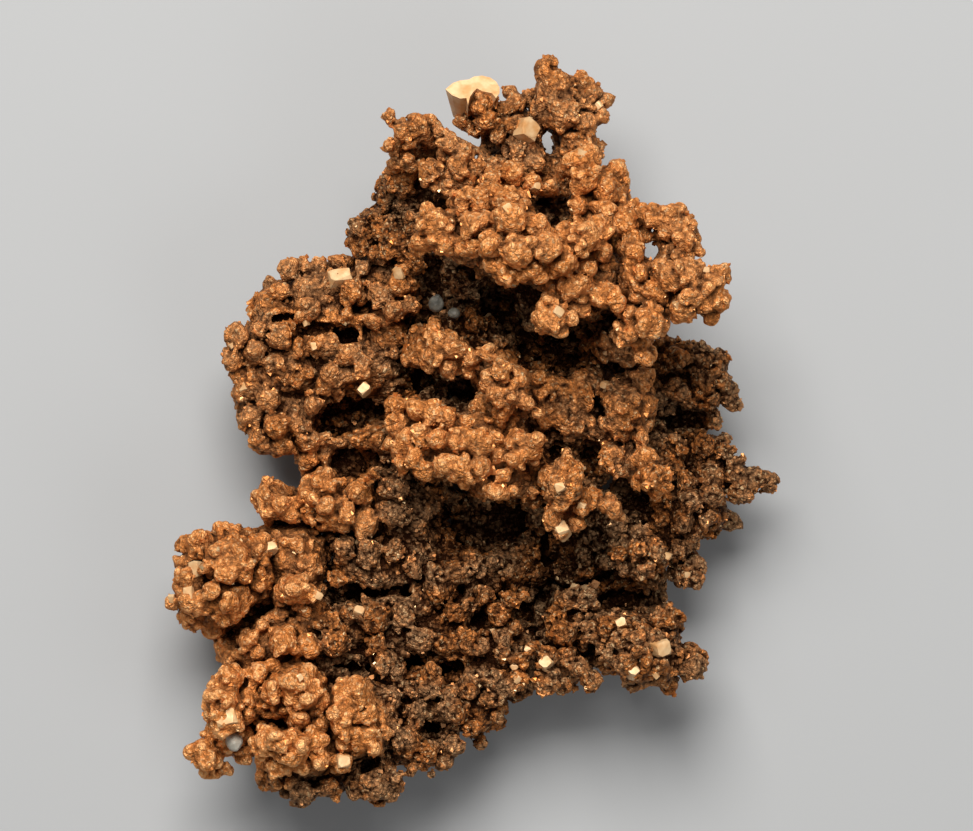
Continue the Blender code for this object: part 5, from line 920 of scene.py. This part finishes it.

# Smaller chips, each set on the copper below it: x, y, half-size, shine. Their pale tops are painted glints.
CHIPS = [
    (-17.3, -24.6, 0.45, GOLD_FACES), (6.2, 24.3, 0.42, CREAM_FACES), (10.8, 27.4, 0.50, CREAM_FACES),
    (-23.1, 4.4, 0.36, GOLD_FACES), (-16, 8.5, 0.32, CREAM_FACES), (-16.8, 10.9, 0.30, CREAM_FACES),
    (-17, -18, 0.30, GOLD_FACES), (-15.5, -16.5, 0.36, GOLD_FACES), (8.6, -5.6, 0.40, GOLD_FACES),
    (10.8, -7.5, 0.35, GOLD_FACES), (5.5, -22, 0.36, GOLD_FACES), (4.2, -23.8, 0.30, CREAM_FACES),
    (4.5, -25, 0.36, GOLD_FACES), (17.2, -23, 0.42, GOLD_FACES), (18.3, -24.4, 0.32, GOLD_FACES),
    (13.2, 4.6, 0.42, GOLD_FACES), (12.5, 32.5, 0.42, GOLD_FACES), (19.5, -12.5, 0.30, GOLD_FACES),
    (21.5, -14.5, 0.36, GOLD_FACES), (-30.2, -16.8, 0.32, CREAM_FACES), (22.9, 15.9, 0.38, GOLD_FACES),
    (20.1, 12.4, 0.34, GOLD_FACES), (3.4, 21.9, 0.34, GOLD_FACES), (8.3, 11.8, 0.40, GOLD_FACES),
    (-24.2, 8.6, 0.30, GOLD_FACES),
]
CHIP_TILT = 25.0  # largest tilt of a chip, in degrees
CHIP_TURNS = (1, 1, 3)  # its largest turn about X, Y and Z, in that tilt
CHIP_SINK = 0.9  # how deep a chip's middle lies, in its half-size
CHIP_STRETCH = (0.75, 1.25)
CHIP_POINTS = 40  # points of the surface that a chip's height is read from

# The broken stub of the top edge, seen obliquely: its bright break's outline, x and y.
STUB_BREAK = [
    (-2.75, 34.1), (-2, 34.75), (-1.3, 35), (-0.4, 35.1), (0.1, 35.4), (0.9, 35.5), (1.7, 35.3),
    (2.3, 34.9), (2.65, 34.3), (2.65, 33.7), (2.3, 33.2), (1.9, 33.7), (0.9, 33.9), (0.4, 34.2),
    (0, 33.8), (-0.3, 33.3), (-0.5, 32.5), (-0.65, 33.2), (-1.3, 33.15), (-2.1, 33.5),
]
STUB_MIDDLE = (0.0, 34.3)
STUB_FOOT = (-0.3, 31.7)
STUB_TOP, STUB_BOTTOM = 18.6, 14.6  # heights of the break's middle and of the stub's foot
STUB_TILT = 0.55  # the break's fall in each millimetre along Y
STUB_TAPER = 0.62  # the stub's girth at its foot against its break


def make_crystals(surface):
    """The bright crystals and chips, and the broken stub."""
    draw = np.random.default_rng(SEED + 6)
    shape = bmesh.new()
    for x, y, z, half, turn, shine in CRYSTALS.values():
        add_crystal(shape, draw, (x, y, z), half, turn, shine)
    for x, y, size, shine in CHIPS:
        near = np.argpartition(np.hypot(surface[:, 0] - x, surface[:, 1] - y), CHIP_POINTS)[:CHIP_POINTS]
        place = (x, y, surface[near, 2].max() - CHIP_SINK * size)
        turn = draw.uniform(-CHIP_TILT, CHIP_TILT, 3) * CHIP_TURNS
        add_crystal(shape, draw, place, size * draw.uniform(*CHIP_STRETCH, 3), turn, shine)
    add_stub(shape)
    bmesh.ops.triangulate(shape, faces=shape.faces)
    mesh = bpy.data.meshes.new("bright_crystals")
    shape.to_mesh(mesh)
    mesh.shade_flat()
    shines = bright_material("cream_faces", CREAM, GOLD), bright_material("gold_faces", GOLD, OLD_GOLD)
    piece("bright_crystals", mesh, "patinated_copper", *shines, side_material())


def add_crystal(shape, draw, place, half, turn, shine):
    """A block with cut-off corners, so that it has square and triangular faces; those that look up get the
    pale colour, partly painted reflection of the light above.
    """
    turn = Euler([math.radians(t) for t in turn]).to_matrix().to_4x4()
    corners = []
    for signs in ((i, j, k) for i in (-1, 1) for j in (-1, 1) for k in (-1, 1)):
        for held in range(3):
            corner = Vector([sign * size for sign, size in zip(signs, half)]) * draw.uniform(*CORNER_JITTER)
            corner[held] *= CORNER_CUT
            corners.append(shape.verts.new((Matrix.Translation(place) @ turn @ corner) * MM))
    hull = bmesh.ops.convex_hull(shape, input=corners)
    for face in (item for item in hull["geom"] if isinstance(item, bmesh.types.BMFace)):
        face.normal_update()
        # faces that look up get the pale colour: partly painted reflection of the light above
        face.material_index = shine if face.normal.z > UPWARD else SIDE_FACES
    loose = [vert for vert in corners if not vert.link_faces]
    bmesh.ops.delete(shape, geom=loose, context="VERTS")


def add_stub(shape):
    """The stub: its break is a flat face with a ragged rim, tilted up and away from the picture's top."""
    middle = Vector(STUB_MIDDLE)
    top, bottom = [], []
    for x, y in STUB_BREAK:
        low = Vector(STUB_FOOT) + (Vector((x, y)) - middle) * STUB_TAPER
        top.append(shape.verts.new(Vector((x, y, STUB_TOP - (y - middle.y) * STUB_TILT)) * MM))
        bottom.append(shape.verts.new(Vector((low.x, low.y, STUB_BOTTOM)) * MM))
    faces = [shape.faces.new(top), shape.faces.new(reversed(bottom))]
    for i in range(len(top)):
        j = (i + 1) % len(top)
        faces.append(shape.faces.new((top[i], bottom[i], bottom[j], top[j])))
    bmesh.ops.recalc_face_normals(shape, faces=faces)
    for face in faces[1:]:
        face.material_index = SIDE_FACES


def hull_of(corners):
    """Corners and triangles of the closed shape stretched round some points."""
    shape = bmesh.new()
    for corner in corners:
        shape.verts.new(corner)
    bmesh.ops.convex_hull(shape, input=shape.verts)
    loose = [vert for vert in shape.verts if not vert.link_faces]
    bmesh.ops.delete(shape, geom=loose, context="VERTS")
    bmesh.ops.triangulate(shape, faces=shape.faces)
    bmesh.ops.recalc_face_normals(shape, faces=shape.faces)
    shape.verts.index_update()
    points = np.array([vert.co[:] for vert in shape.verts])
    faces = np.array([[vert.index for vert in face.verts] for face in shape.faces])
    shape.free()
    return points, faces


def grain_corners(draw):
    """A cube whose corners have strayed."""
    signs = np.array(np.meshgrid((-1, 1), (-1, 1), (-1, 1))).reshape(3, -1).T
    return signs / math.sqrt(3) + draw.uniform(-GRAIN_JITTER, GRAIN_JITTER, signs.shape)


def spaced(points, spacing):
    """Which points to keep so that each small cube of space holds one at most."""
    cells = np.floor(points / spacing).astype(np.int64) @ (1, 10 ** 4, 10 ** 8)
    return np.unique(cells, return_index=True)[1]


def grain_places(draw, surface, field, axes):
    """Where grains sit, the way out of the copper there, its brightness, and whether they look down."""
    points = surface[draw.permutation(len(surface))]
    points = points[spaced(points, GRAIN_SPACING)]
    points = points[draw.permutation(len(points))]
    out = outward(field, axes, points)
    bright = looks_at(points)[:, 0]
    looks_down = out[:, 2] < LOOKS_DOWN
    fall = np.clip(bright * SHARE_SLOPE - SHARE_START, 0, 1)
    share = np.where(looks_down, BACK_SHARE, 1 - (1 - BRIGHT_SHARE) * fall)
    kept = np.flatnonzero(draw.random(len(points)) < share)[:GRAIN_COUNT]
    return points[kept], out[kept], bright[kept], looks_down[kept]


def make_grains(surface, field, axes, hollows):
    """The grains, as pieces that each cover a band of Y."""
    draw = np.random.default_rng(SEED + 4)
    points, out, bright, looks_down = grain_places(draw, surface, field, axes)
    sizes = draw.uniform(*GRAIN_RADII, len(points)) * np.where(looks_down, BACK_GROWTH, 1.0)
    centres = points + out * (sizes * draw.uniform(*GRAIN_RISE, len(points)))[:, None]
    stretch = sizes[:, None] * draw.uniform(*GRAIN_STRETCH, (len(points), 3))
    turns = random_turns(draw, len(points)) * stretch[:, None, :]
    facts = np.stack([bright, value_at(hollows, axes, points), draw.uniform(0, 1, len(points))], axis=1)
    shapes = [hull_of(grain_corners(draw)) for _ in range(GRAIN_SHAPES)]
    kind = draw.integers(GRAIN_SHAPES, size=len(points))
    band = bands_of(centres[:, 1], GRAIN_BANDS)
    material = grain_material()
    for b in range(GRAIN_BANDS):
        corners, faces, values, start = [], [], [], 0
        for k, (shape_corners, triangles) in enumerate(shapes):
            these = np.flatnonzero((kind == k) & (band == b))
            grown = np.einsum("nij,pj->npi", turns[these], shape_corners) + centres[these][:, None]
            offsets = start + np.arange(len(these))[:, None, None] * len(shape_corners)
            corners.append(grown.reshape(-1, 3))
            faces.append((triangles[None] + offsets).reshape(-1, 3))
            values.append(np.repeat(facts[these], len(shape_corners), axis=0))
            start += len(these) * len(shape_corners)
        corners = np.clip(np.concatenate(corners), *box_limits())
        mesh = new_mesh(f"copper_grains_{b + 1}", corners, np.concatenate(faces))
        values = np.concatenate(values)
        for column, name in enumerate(("bright", "hollow", "tint")):
            set_values(mesh, name, values[:, column])
        mesh.shade_flat()
        piece(f"copper_grains_{b + 1}", mesh, "patinated_copper", material)


class Nodes:
    """Adds nodes to a material's tree and joins them."""

    def __init__(self, name):
        self.material = bpy.data.materials.new(name)
        self.material.use_nodes = True
        self.tree = self.material.node_tree
        self.shader = self.tree.nodes["Principled BSDF"]

    def warm_sheen(self):
        """Makes weak reflections copper-coloured, so that dark copper doesn't look grey."""
        self.shader.inputs["Specular IOR Level"].default_value = 0.25
        self.shader.inputs["Specular Tint"].default_value = (*SHEEN, 1.0)

    def join(self, source, target):
        """Feeds a node's output, or a plain value, into a socket."""
        if hasattr(source, "is_output"):
            self.tree.links.new(source, target)
        else:
            target.default_value = source

    def attribute(self, name):
        """A number stored with set_values."""
        node = self.tree.nodes.new("ShaderNodeAttribute")
        node.attribute_name = name
        return node.outputs["Fac"]

    def noise(self, scale, distortion=0.0):
        """Noise with about this many lumps to a metre."""
        node = self.tree.nodes.new("ShaderNodeTexNoise")
        place = self.tree.nodes.new("ShaderNodeNewGeometry").outputs["Position"]
        self.join(place, node.inputs["Vector"])
        node.inputs["Scale"].default_value = scale
        node.inputs["Distortion"].default_value = distortion
        return node.outputs["Fac"]

    def cells(self, scale, stray):
        """Distance from the middle of the nearest cell, with about this many cells to a metre."""
        tree = self.tree
        place = tree.nodes.new("ShaderNodeNewGeometry").outputs["Position"]
        drift = tree.nodes.new("ShaderNodeTexNoise")
        self.join(place, drift.inputs["Vector"])
        drift.inputs["Scale"].default_value = scale
        moved = tree.nodes.new("ShaderNodeVectorMath")
        moved.operation = "MULTIPLY_ADD"
        self.join(drift.outputs["Color"], moved.inputs[0])
        moved.inputs[1].default_value = [stray / scale] * 3
        self.join(place, moved.inputs[2])
        node = tree.nodes.new("ShaderNodeTexVoronoi")
        self.join(moved.outputs[0], node.inputs["Vector"])
        node.inputs["Scale"].default_value = scale
        return node.outputs["Distance"]

    def math(self, kind, a, b=0.0, c=0.0):
        node = self.tree.nodes.new("ShaderNodeMath")
        node.operation = kind
        for value, socket in zip((a, b, c), node.inputs):
            self.join(value, socket)
        return node.outputs[0]

    def between(self, value, low, high, new_low=0.0, new_high=1.0):
        """value's place between low and high, kept within the new range."""
        node = self.tree.nodes.new("ShaderNodeMapRange")
        self.join(value, node.inputs["Value"])
        node.inputs["From Min"].default_value = low
        node.inputs["From Max"].default_value = high
        node.inputs["To Min"].default_value = new_low
        node.inputs["To Max"].default_value = new_high
        return node.outputs["Result"]

    def ramp(self, value, *stops):
        """Colours at places from 0 to 1."""
        node = self.tree.nodes.new("ShaderNodeValToRGB")
        ramp = node.color_ramp
        while len(ramp.elements) < len(stops):
            ramp.elements.new(0.5)
        for element, (place, colour) in zip(ramp.elements, stops):
            element.position = place
            element.color = (*colour, 1.0)
        self.join(value, node.inputs["Fac"])
        return node.outputs["Color"]

    def mix(self, share, a, b):
        node = self.tree.nodes.new("ShaderNodeMix")
        node.data_type = "RGBA"
        sockets = [s for s in node.inputs if s.enabled]
        self.join(share, sockets[0])
        self.join((*a, 1.0) if isinstance(a, tuple) else a, sockets[1])
        self.join((*b, 1.0) if isinstance(b, tuple) else b, sockets[2])
        return [s for s in node.outputs if s.enabled][0]

    def bump(self, height, distance):
        node = self.tree.nodes.new("ShaderNodeBump")
        node.inputs["Distance"].default_value = distance * MM
        self.join(height, node.inputs["Height"])
        self.join(node.outputs["Normal"], self.shader.inputs["Normal"])


# Colours, linear red, green and blue.
# darkest copper colour: dark oxide, and painted shade deep in hollows, creases and between granules
DARK_OXIDE_AND_SHADE = (0.026, 0.007, 0.002)
OLD_BROWN = (0.115, 0.040, 0.012)
BROWN = (0.260, 0.093, 0.026)
ORANGE = (0.600, 0.210, 0.052)
PALE_ORANGE = (0.880, 0.440, 0.170)
CREAM = (0.680, 0.450, 0.230)
GOLD = (0.560, 0.270, 0.090)
OLD_GOLD = (0.420, 0.175, 0.052)
TARNISH = (0.350, 0.230, 0.125)
SHEEN = (1.0, 0.62, 0.38)
SIDE_ORANGE = (0.360, 0.135, 0.036)
QUARTZ = (0.52, 0.48, 0.40), (0.25, 0.23, 0.18)
STONE = (0.180, 0.165, 0.130), (0.062, 0.058, 0.046)

# Patina: a shade from 0 to 1 that grows with a cluster's brightness, and the colours along it.
SHADE_SLOPE, SHADE_START = 0.42, 0.32
MOTTLES = [(420.0, 0.45), (2400.0, 0.40)]  # noises that mottle the shade: lumps to a metre, strength
HOLLOW_OXIDE_AND_SHADE = 0.56  # how much darker the deepest hollow is: dark oxide there, and painted shade
COPPER_STOPS = [(0.0, DARK_OXIDE_AND_SHADE), (0.20, OLD_BROWN), (0.42, BROWN), (0.72, ORANGE), (1.0, PALE_ORANGE)]
TARNISH_STOPS = [(0.0, DARK_OXIDE_AND_SHADE), (0.6, TARNISH), (1.0, PALE_ORANGE)]
TARNISH_PATCHES = 230.0  # patches to a metre

# The skin's granules, patches, ripples and glints (painted highlights): how many of them to a metre, and what
# they change.
GRANULES, GRANULE_STRAY = 2100.0, 1.1  # their outlines stray by that share of their spacing
GRANULE_RIM_PAINTED_SHADE, GRANULE_HEIGHT = -0.9, -1.4  # painted shade and height at a granule's rim, against its middle
PATCHES, PATCH_SHADE = 1000.0, 0.5
RIPPLES, RIPPLE_HEIGHT = 1800.0, 1.1
# painted glints: cream spots on small bumps, none in hollows
PAINTED_GLINTS = 3000.0
# painted shade in small creases, and painted light on small bumps
PAINTED_CREASE_SHADE = -0.30
SKIN_BUMP = 0.34  # depth of all this in relief
TINT_SHADES = (-0.08, 0.22)  # shade of the darkest and of the brightest grain


def patina(nodes, shift):
    """Copper's shade from 0 to 1 and its colour: by region, darker in hollows with oxide and painted shade,
    mottled.
    """
    bright = nodes.attribute("bright")
    value = nodes.math("MULTIPLY_ADD", bright, SHADE_SLOPE, SHADE_START)
    value = nodes.math("ADD", value, shift)
    for scale, strength in MOTTLES:
        value = nodes.math("SUBTRACT", value, strength / 2)
        value = nodes.math("MULTIPLY_ADD", nodes.noise(scale), strength, value)
    # darker in hollows: dark oxide there, and painted shade
    value = nodes.math("SUBTRACT", value, nodes.math("MULTIPLY", nodes.attribute("hollow"), HOLLOW_OXIDE_AND_SHADE))
    tarnish = nodes.between(nodes.noise(TARNISH_PATCHES), 0.40, 0.60)
    tarnish = nodes.math("MULTIPLY", tarnish, nodes.between(bright, 1.0, 0.1, 0.05, 0.75))
    return value, nodes.mix(tarnish, nodes.ramp(value, *COPPER_STOPS), nodes.ramp(value, *TARNISH_STOPS))


def copper_material():
    """Copper with brown patina, with painted shade in creases and between granules, painted light and glints
    on small bumps, most granular where it is dark.
    """
    nodes = Nodes("patinated_copper")
    bright = nodes.attribute("bright")
    crease = nodes.attribute("crease")
    granular = nodes.between(bright, 0.2, 0.9, 1.0, 0.4)
    cell = nodes.cells(GRANULES, GRANULE_STRAY)
    dome = nodes.math("MULTIPLY", nodes.math("MULTIPLY", cell, cell), granular)
    patches = nodes.noise(PATCHES, 0.8)
    # painted shade in small creases, painted light on small bumps
    shift = nodes.math("MULTIPLY_ADD", crease, PAINTED_CREASE_SHADE, -PATCH_SHADE / 2)
    shift = nodes.math("MULTIPLY_ADD", patches, PATCH_SHADE, shift)
    # painted shade at the granules' rims
    value, colour = patina(nodes, nodes.math("MULTIPLY_ADD", dome, GRANULE_RIM_PAINTED_SHADE, shift))
    # painted glints: cream spots on small bumps, none in hollows
    painted_glint = nodes.between(nodes.noise(PAINTED_GLINTS), 0.59, 0.65)
    painted_glint = nodes.math("MULTIPLY", painted_glint, nodes.between(crease, 0.2, -0.4))
    painted_glint = nodes.math("MULTIPLY", painted_glint, nodes.between(nodes.attribute("hollow"), 0.5, 0.2, 0.0, 0.7))
    nodes.join(nodes.mix(painted_glint, colour, CREAM), nodes.shader.inputs["Base Color"])
    nodes.join(nodes.between(value, 0.2, 0.8, 0.3, 0.5), nodes.shader.inputs["Metallic"])
    nodes.join(nodes.between(nodes.noise(1500.0), 0.3, 0.7, 0.40, 0.62), nodes.shader.inputs["Roughness"])
    height = nodes.math("MULTIPLY", dome, GRANULE_HEIGHT)
    height = nodes.math("MULTIPLY_ADD", nodes.noise(RIPPLES, 1.5), RIPPLE_HEIGHT, height)
    nodes.bump(nodes.math("ADD", height, patches), SKIN_BUMP)
    nodes.warm_sheen()
    return nodes.material


def grain_material():
    """Grains: as the copper, with every one its own shade, a few of them painted cream as glints."""
    nodes = Nodes("copper_grains")
    tint = nodes.attribute("tint")
    value, colour = patina(nodes, nodes.between(tint, 0.0, 1.0, *TINT_SHADES))
    # painted glints: a few grains cream, none in hollows
    painted_glint = nodes.between(tint, 0.93, 0.95)
    painted_glint = nodes.math("MULTIPLY", painted_glint, nodes.between(nodes.attribute("hollow"), 0.5, 0.2))
    nodes.join(nodes.mix(painted_glint, colour, CREAM), nodes.shader.inputs["Base Color"])
    nodes.join(nodes.between(value, 0.1, 0.7, 0.4, 0.7), nodes.shader.inputs["Metallic"])
    nodes.join(nodes.between(tint, 0.5, 1.0, 0.52, 0.34), nodes.shader.inputs["Roughness"])
    nodes.warm_sheen()
    return nodes.material


def bright_material(name, main, spots):
    """Flat faces of clean copper that look up: the stub's break, and the crystals' tops, whose paleness is
    partly painted reflection of the light above.
    """
    nodes = Nodes(name)
    colour = nodes.mix(nodes.between(nodes.noise(900.0), 0.35, 0.7), main, spots)
    nodes.join(colour, nodes.shader.inputs["Base Color"])
    nodes.shader.inputs["Metallic"].default_value = 0.2
    nodes.join(nodes.between(nodes.noise(1400.0), 0.3, 0.7, 0.4, 0.6), nodes.shader.inputs["Roughness"])
    nodes.bump(nodes.noise(1600.0), 0.05)
    return nodes.material


def side_material():
    """The crystals' other faces."""
    nodes = Nodes("crystal_sides")
    colour = nodes.mix(nodes.between(nodes.noise(1200.0), 0.35, 0.65), SIDE_ORANGE, BROWN)
    nodes.join(colour, nodes.shader.inputs["Base Color"])
    nodes.shader.inputs["Metallic"].default_value = 0.35
    nodes.shader.inputs["Roughness"].default_value = 0.5
    return nodes.material


def quartz_material():
    """Pale grey quartz, cloudy inside."""
    nodes = Nodes("quartz")
    colour = nodes.mix(nodes.between(nodes.noise(700.0), 0.35, 0.65), *QUARTZ)
    nodes.join(colour, nodes.shader.inputs["Base Color"])
    nodes.shader.inputs["Roughness"].default_value = 0.28
    nodes.bump(nodes.noise(1500.0), 0.05)
    return nodes.material


def stone_material():
    """Dark grey stone."""
    nodes = Nodes("grey_stone")
    colour = nodes.mix(nodes.between(nodes.noise(900.0), 0.35, 0.65), *STONE)
    nodes.join(colour, nodes.shader.inputs["Base Color"])
    nodes.join(nodes.between(nodes.noise(1300.0), 0.3, 0.7, 0.35, 0.75), nodes.shader.inputs["Roughness"])
    nodes.bump(nodes.noise(2200.0), 0.08)
    return nodes.material


# Mineral grains: their materials and slots.
MINERALS = {
    "quartz_grain": (quartz_material, "quartz"),
    "grey_grain_large": (stone_material, "grey_stone"),
    "grey_grain_small": (stone_material, "grey_stone"),
}
MINERAL_SWELL = 1.12  # fills their sockets
MINERAL_BEVEL = 0.12
SAME_CORNER = 1e-6  # metres between corners that are one
SOCKET_STRETCH = 0.1  # length of a socket's middle line


def make_mineral_grains():
    """Each mineral grain again, a little larger so that it fills its socket, with broken edges."""
    for name, (material, slot) in MINERALS.items():
        shape = bmesh.new()
        shape.from_mesh(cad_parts[name].data)
        bmesh.ops.remove_doubles(shape, verts=shape.verts, dist=SAME_CORNER)
        middle = sum((vert.co for vert in shape.verts), Vector()) / len(shape.verts)
        for vert in shape.verts:
            vert.co = middle + (vert.co - middle) * MINERAL_SWELL
        bmesh.ops.bevel(shape, geom=shape.edges[:], offset=MINERAL_BEVEL * MM, segments=1, affect="EDGES")
        bmesh.ops.triangulate(shape, faces=shape.faces)
        mesh = bpy.data.meshes.new(name + "_detailed")
        shape.to_mesh(mesh)
        mesh.shade_flat()
        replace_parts(piece(name + "_detailed", mesh, slot, material()), name)


FLOOR_COLOUR = (0.385, 0.388, 0.39)
FLOOR_HALF = 900.0
FLOOR_GAP = 0.02  # the floor lies this far below the worn feet
WORLD_COLOUR = (0.80, 0.81, 0.82)
WORLD_STRENGTH = 0.22

# Lights: place, width of the square, watts, colour. All aim at the nugget.
LIGHTS = {
    "key": ((-60.0, 330.0, 520.0), 380.0, 6.2, (1.0, 0.985, 0.96)),
    "fill": ((330.0, -330.0, 420.0), 300.0, 0.6, (0.95, 0.98, 1.0)),
}


def make_stage():
    """A pale floor under a soft light from beyond the crown and above, and a weak fill."""
    shape = bmesh.new()
    bmesh.ops.create_grid(shape, x_segments=1, y_segments=1, size=FLOOR_HALF * MM)
    mesh = bpy.data.meshes.new("floor")
    shape.to_mesh(mesh)
    nodes = Nodes("floor")
    nodes.shader.inputs["Base Color"].default_value = (*FLOOR_COLOUR, 1.0)
    nodes.shader.inputs["Roughness"].default_value = 0.9
    floor = new_object("floor", mesh, nodes.material)
    floor.location.z = -FLOOR_GAP * MM
    world = bpy.data.worlds.new("studio")
    world.use_nodes = True
    background = world.node_tree.nodes["Background"]
    background.inputs["Color"].default_value = (*WORLD_COLOUR, 1.0)
    background.inputs["Strength"].default_value = WORLD_STRENGTH
    bpy.context.scene.world = world
    for name, (place, width, watts, colour) in LIGHTS.items():
        add_light(name, Vector(place) * MM, width * MM, watts, colour)
    bpy.context.scene.view_settings.view_transform = "Standard"


def add_light(name, place, width, watts, colour):
    """A square light that aims at the nugget."""
    data = bpy.data.lights.new(name, "AREA")
    data.size = width
    data.energy = watts
    data.color = colour
    light = bpy.data.objects.new(name, data)
    light.location = place
    light.rotation_euler = (-place).to_track_quat("-Z", "Y").to_euler()
    bpy.context.scene.collection.objects.link(light)


def make_camera():
    """Looks straight down from far away, as the photograph faces the nugget."""
    data = bpy.data.cameras.new("camera")
    data.sensor_width = 36.0
    data.lens = data.sensor_width * (CAMERA_HEIGHT - FACE_HEIGHT) / (PICTURE_WIDTH * MM_PER_PIXEL)
    data.clip_start, data.clip_end = 0.01, 10.0
    camera = bpy.data.objects.new("camera", data)
    x = (PICTURE_WIDTH / 2 - ORIGIN_PIXEL[0]) * MM_PER_PIXEL
    y = (ORIGIN_PIXEL[1] - PICTURE_HEIGHT / 2) * MM_PER_PIXEL
    camera.location = Vector((x, y, CAMERA_HEIGHT)) * MM
    bpy.context.scene.collection.objects.link(camera)
    bpy.context.scene.camera = camera


def write_sizes():
    """Brings the scene up to date."""
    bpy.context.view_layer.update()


def main():
    axes = grid_axes()
    field = fine_field(coarse_field(axes), axes)
    surface = largest_piece(*surface_of(field, axes))
    hollows = hollowness(field)
    make_copper(surface, axes, hollows, creasing(field))
    make_grains(surface[0], field, axes, hollows)
    make_crystals(surface[0])
    make_mineral_grains()
    make_stage()
    make_camera()
    write_sizes()


main()
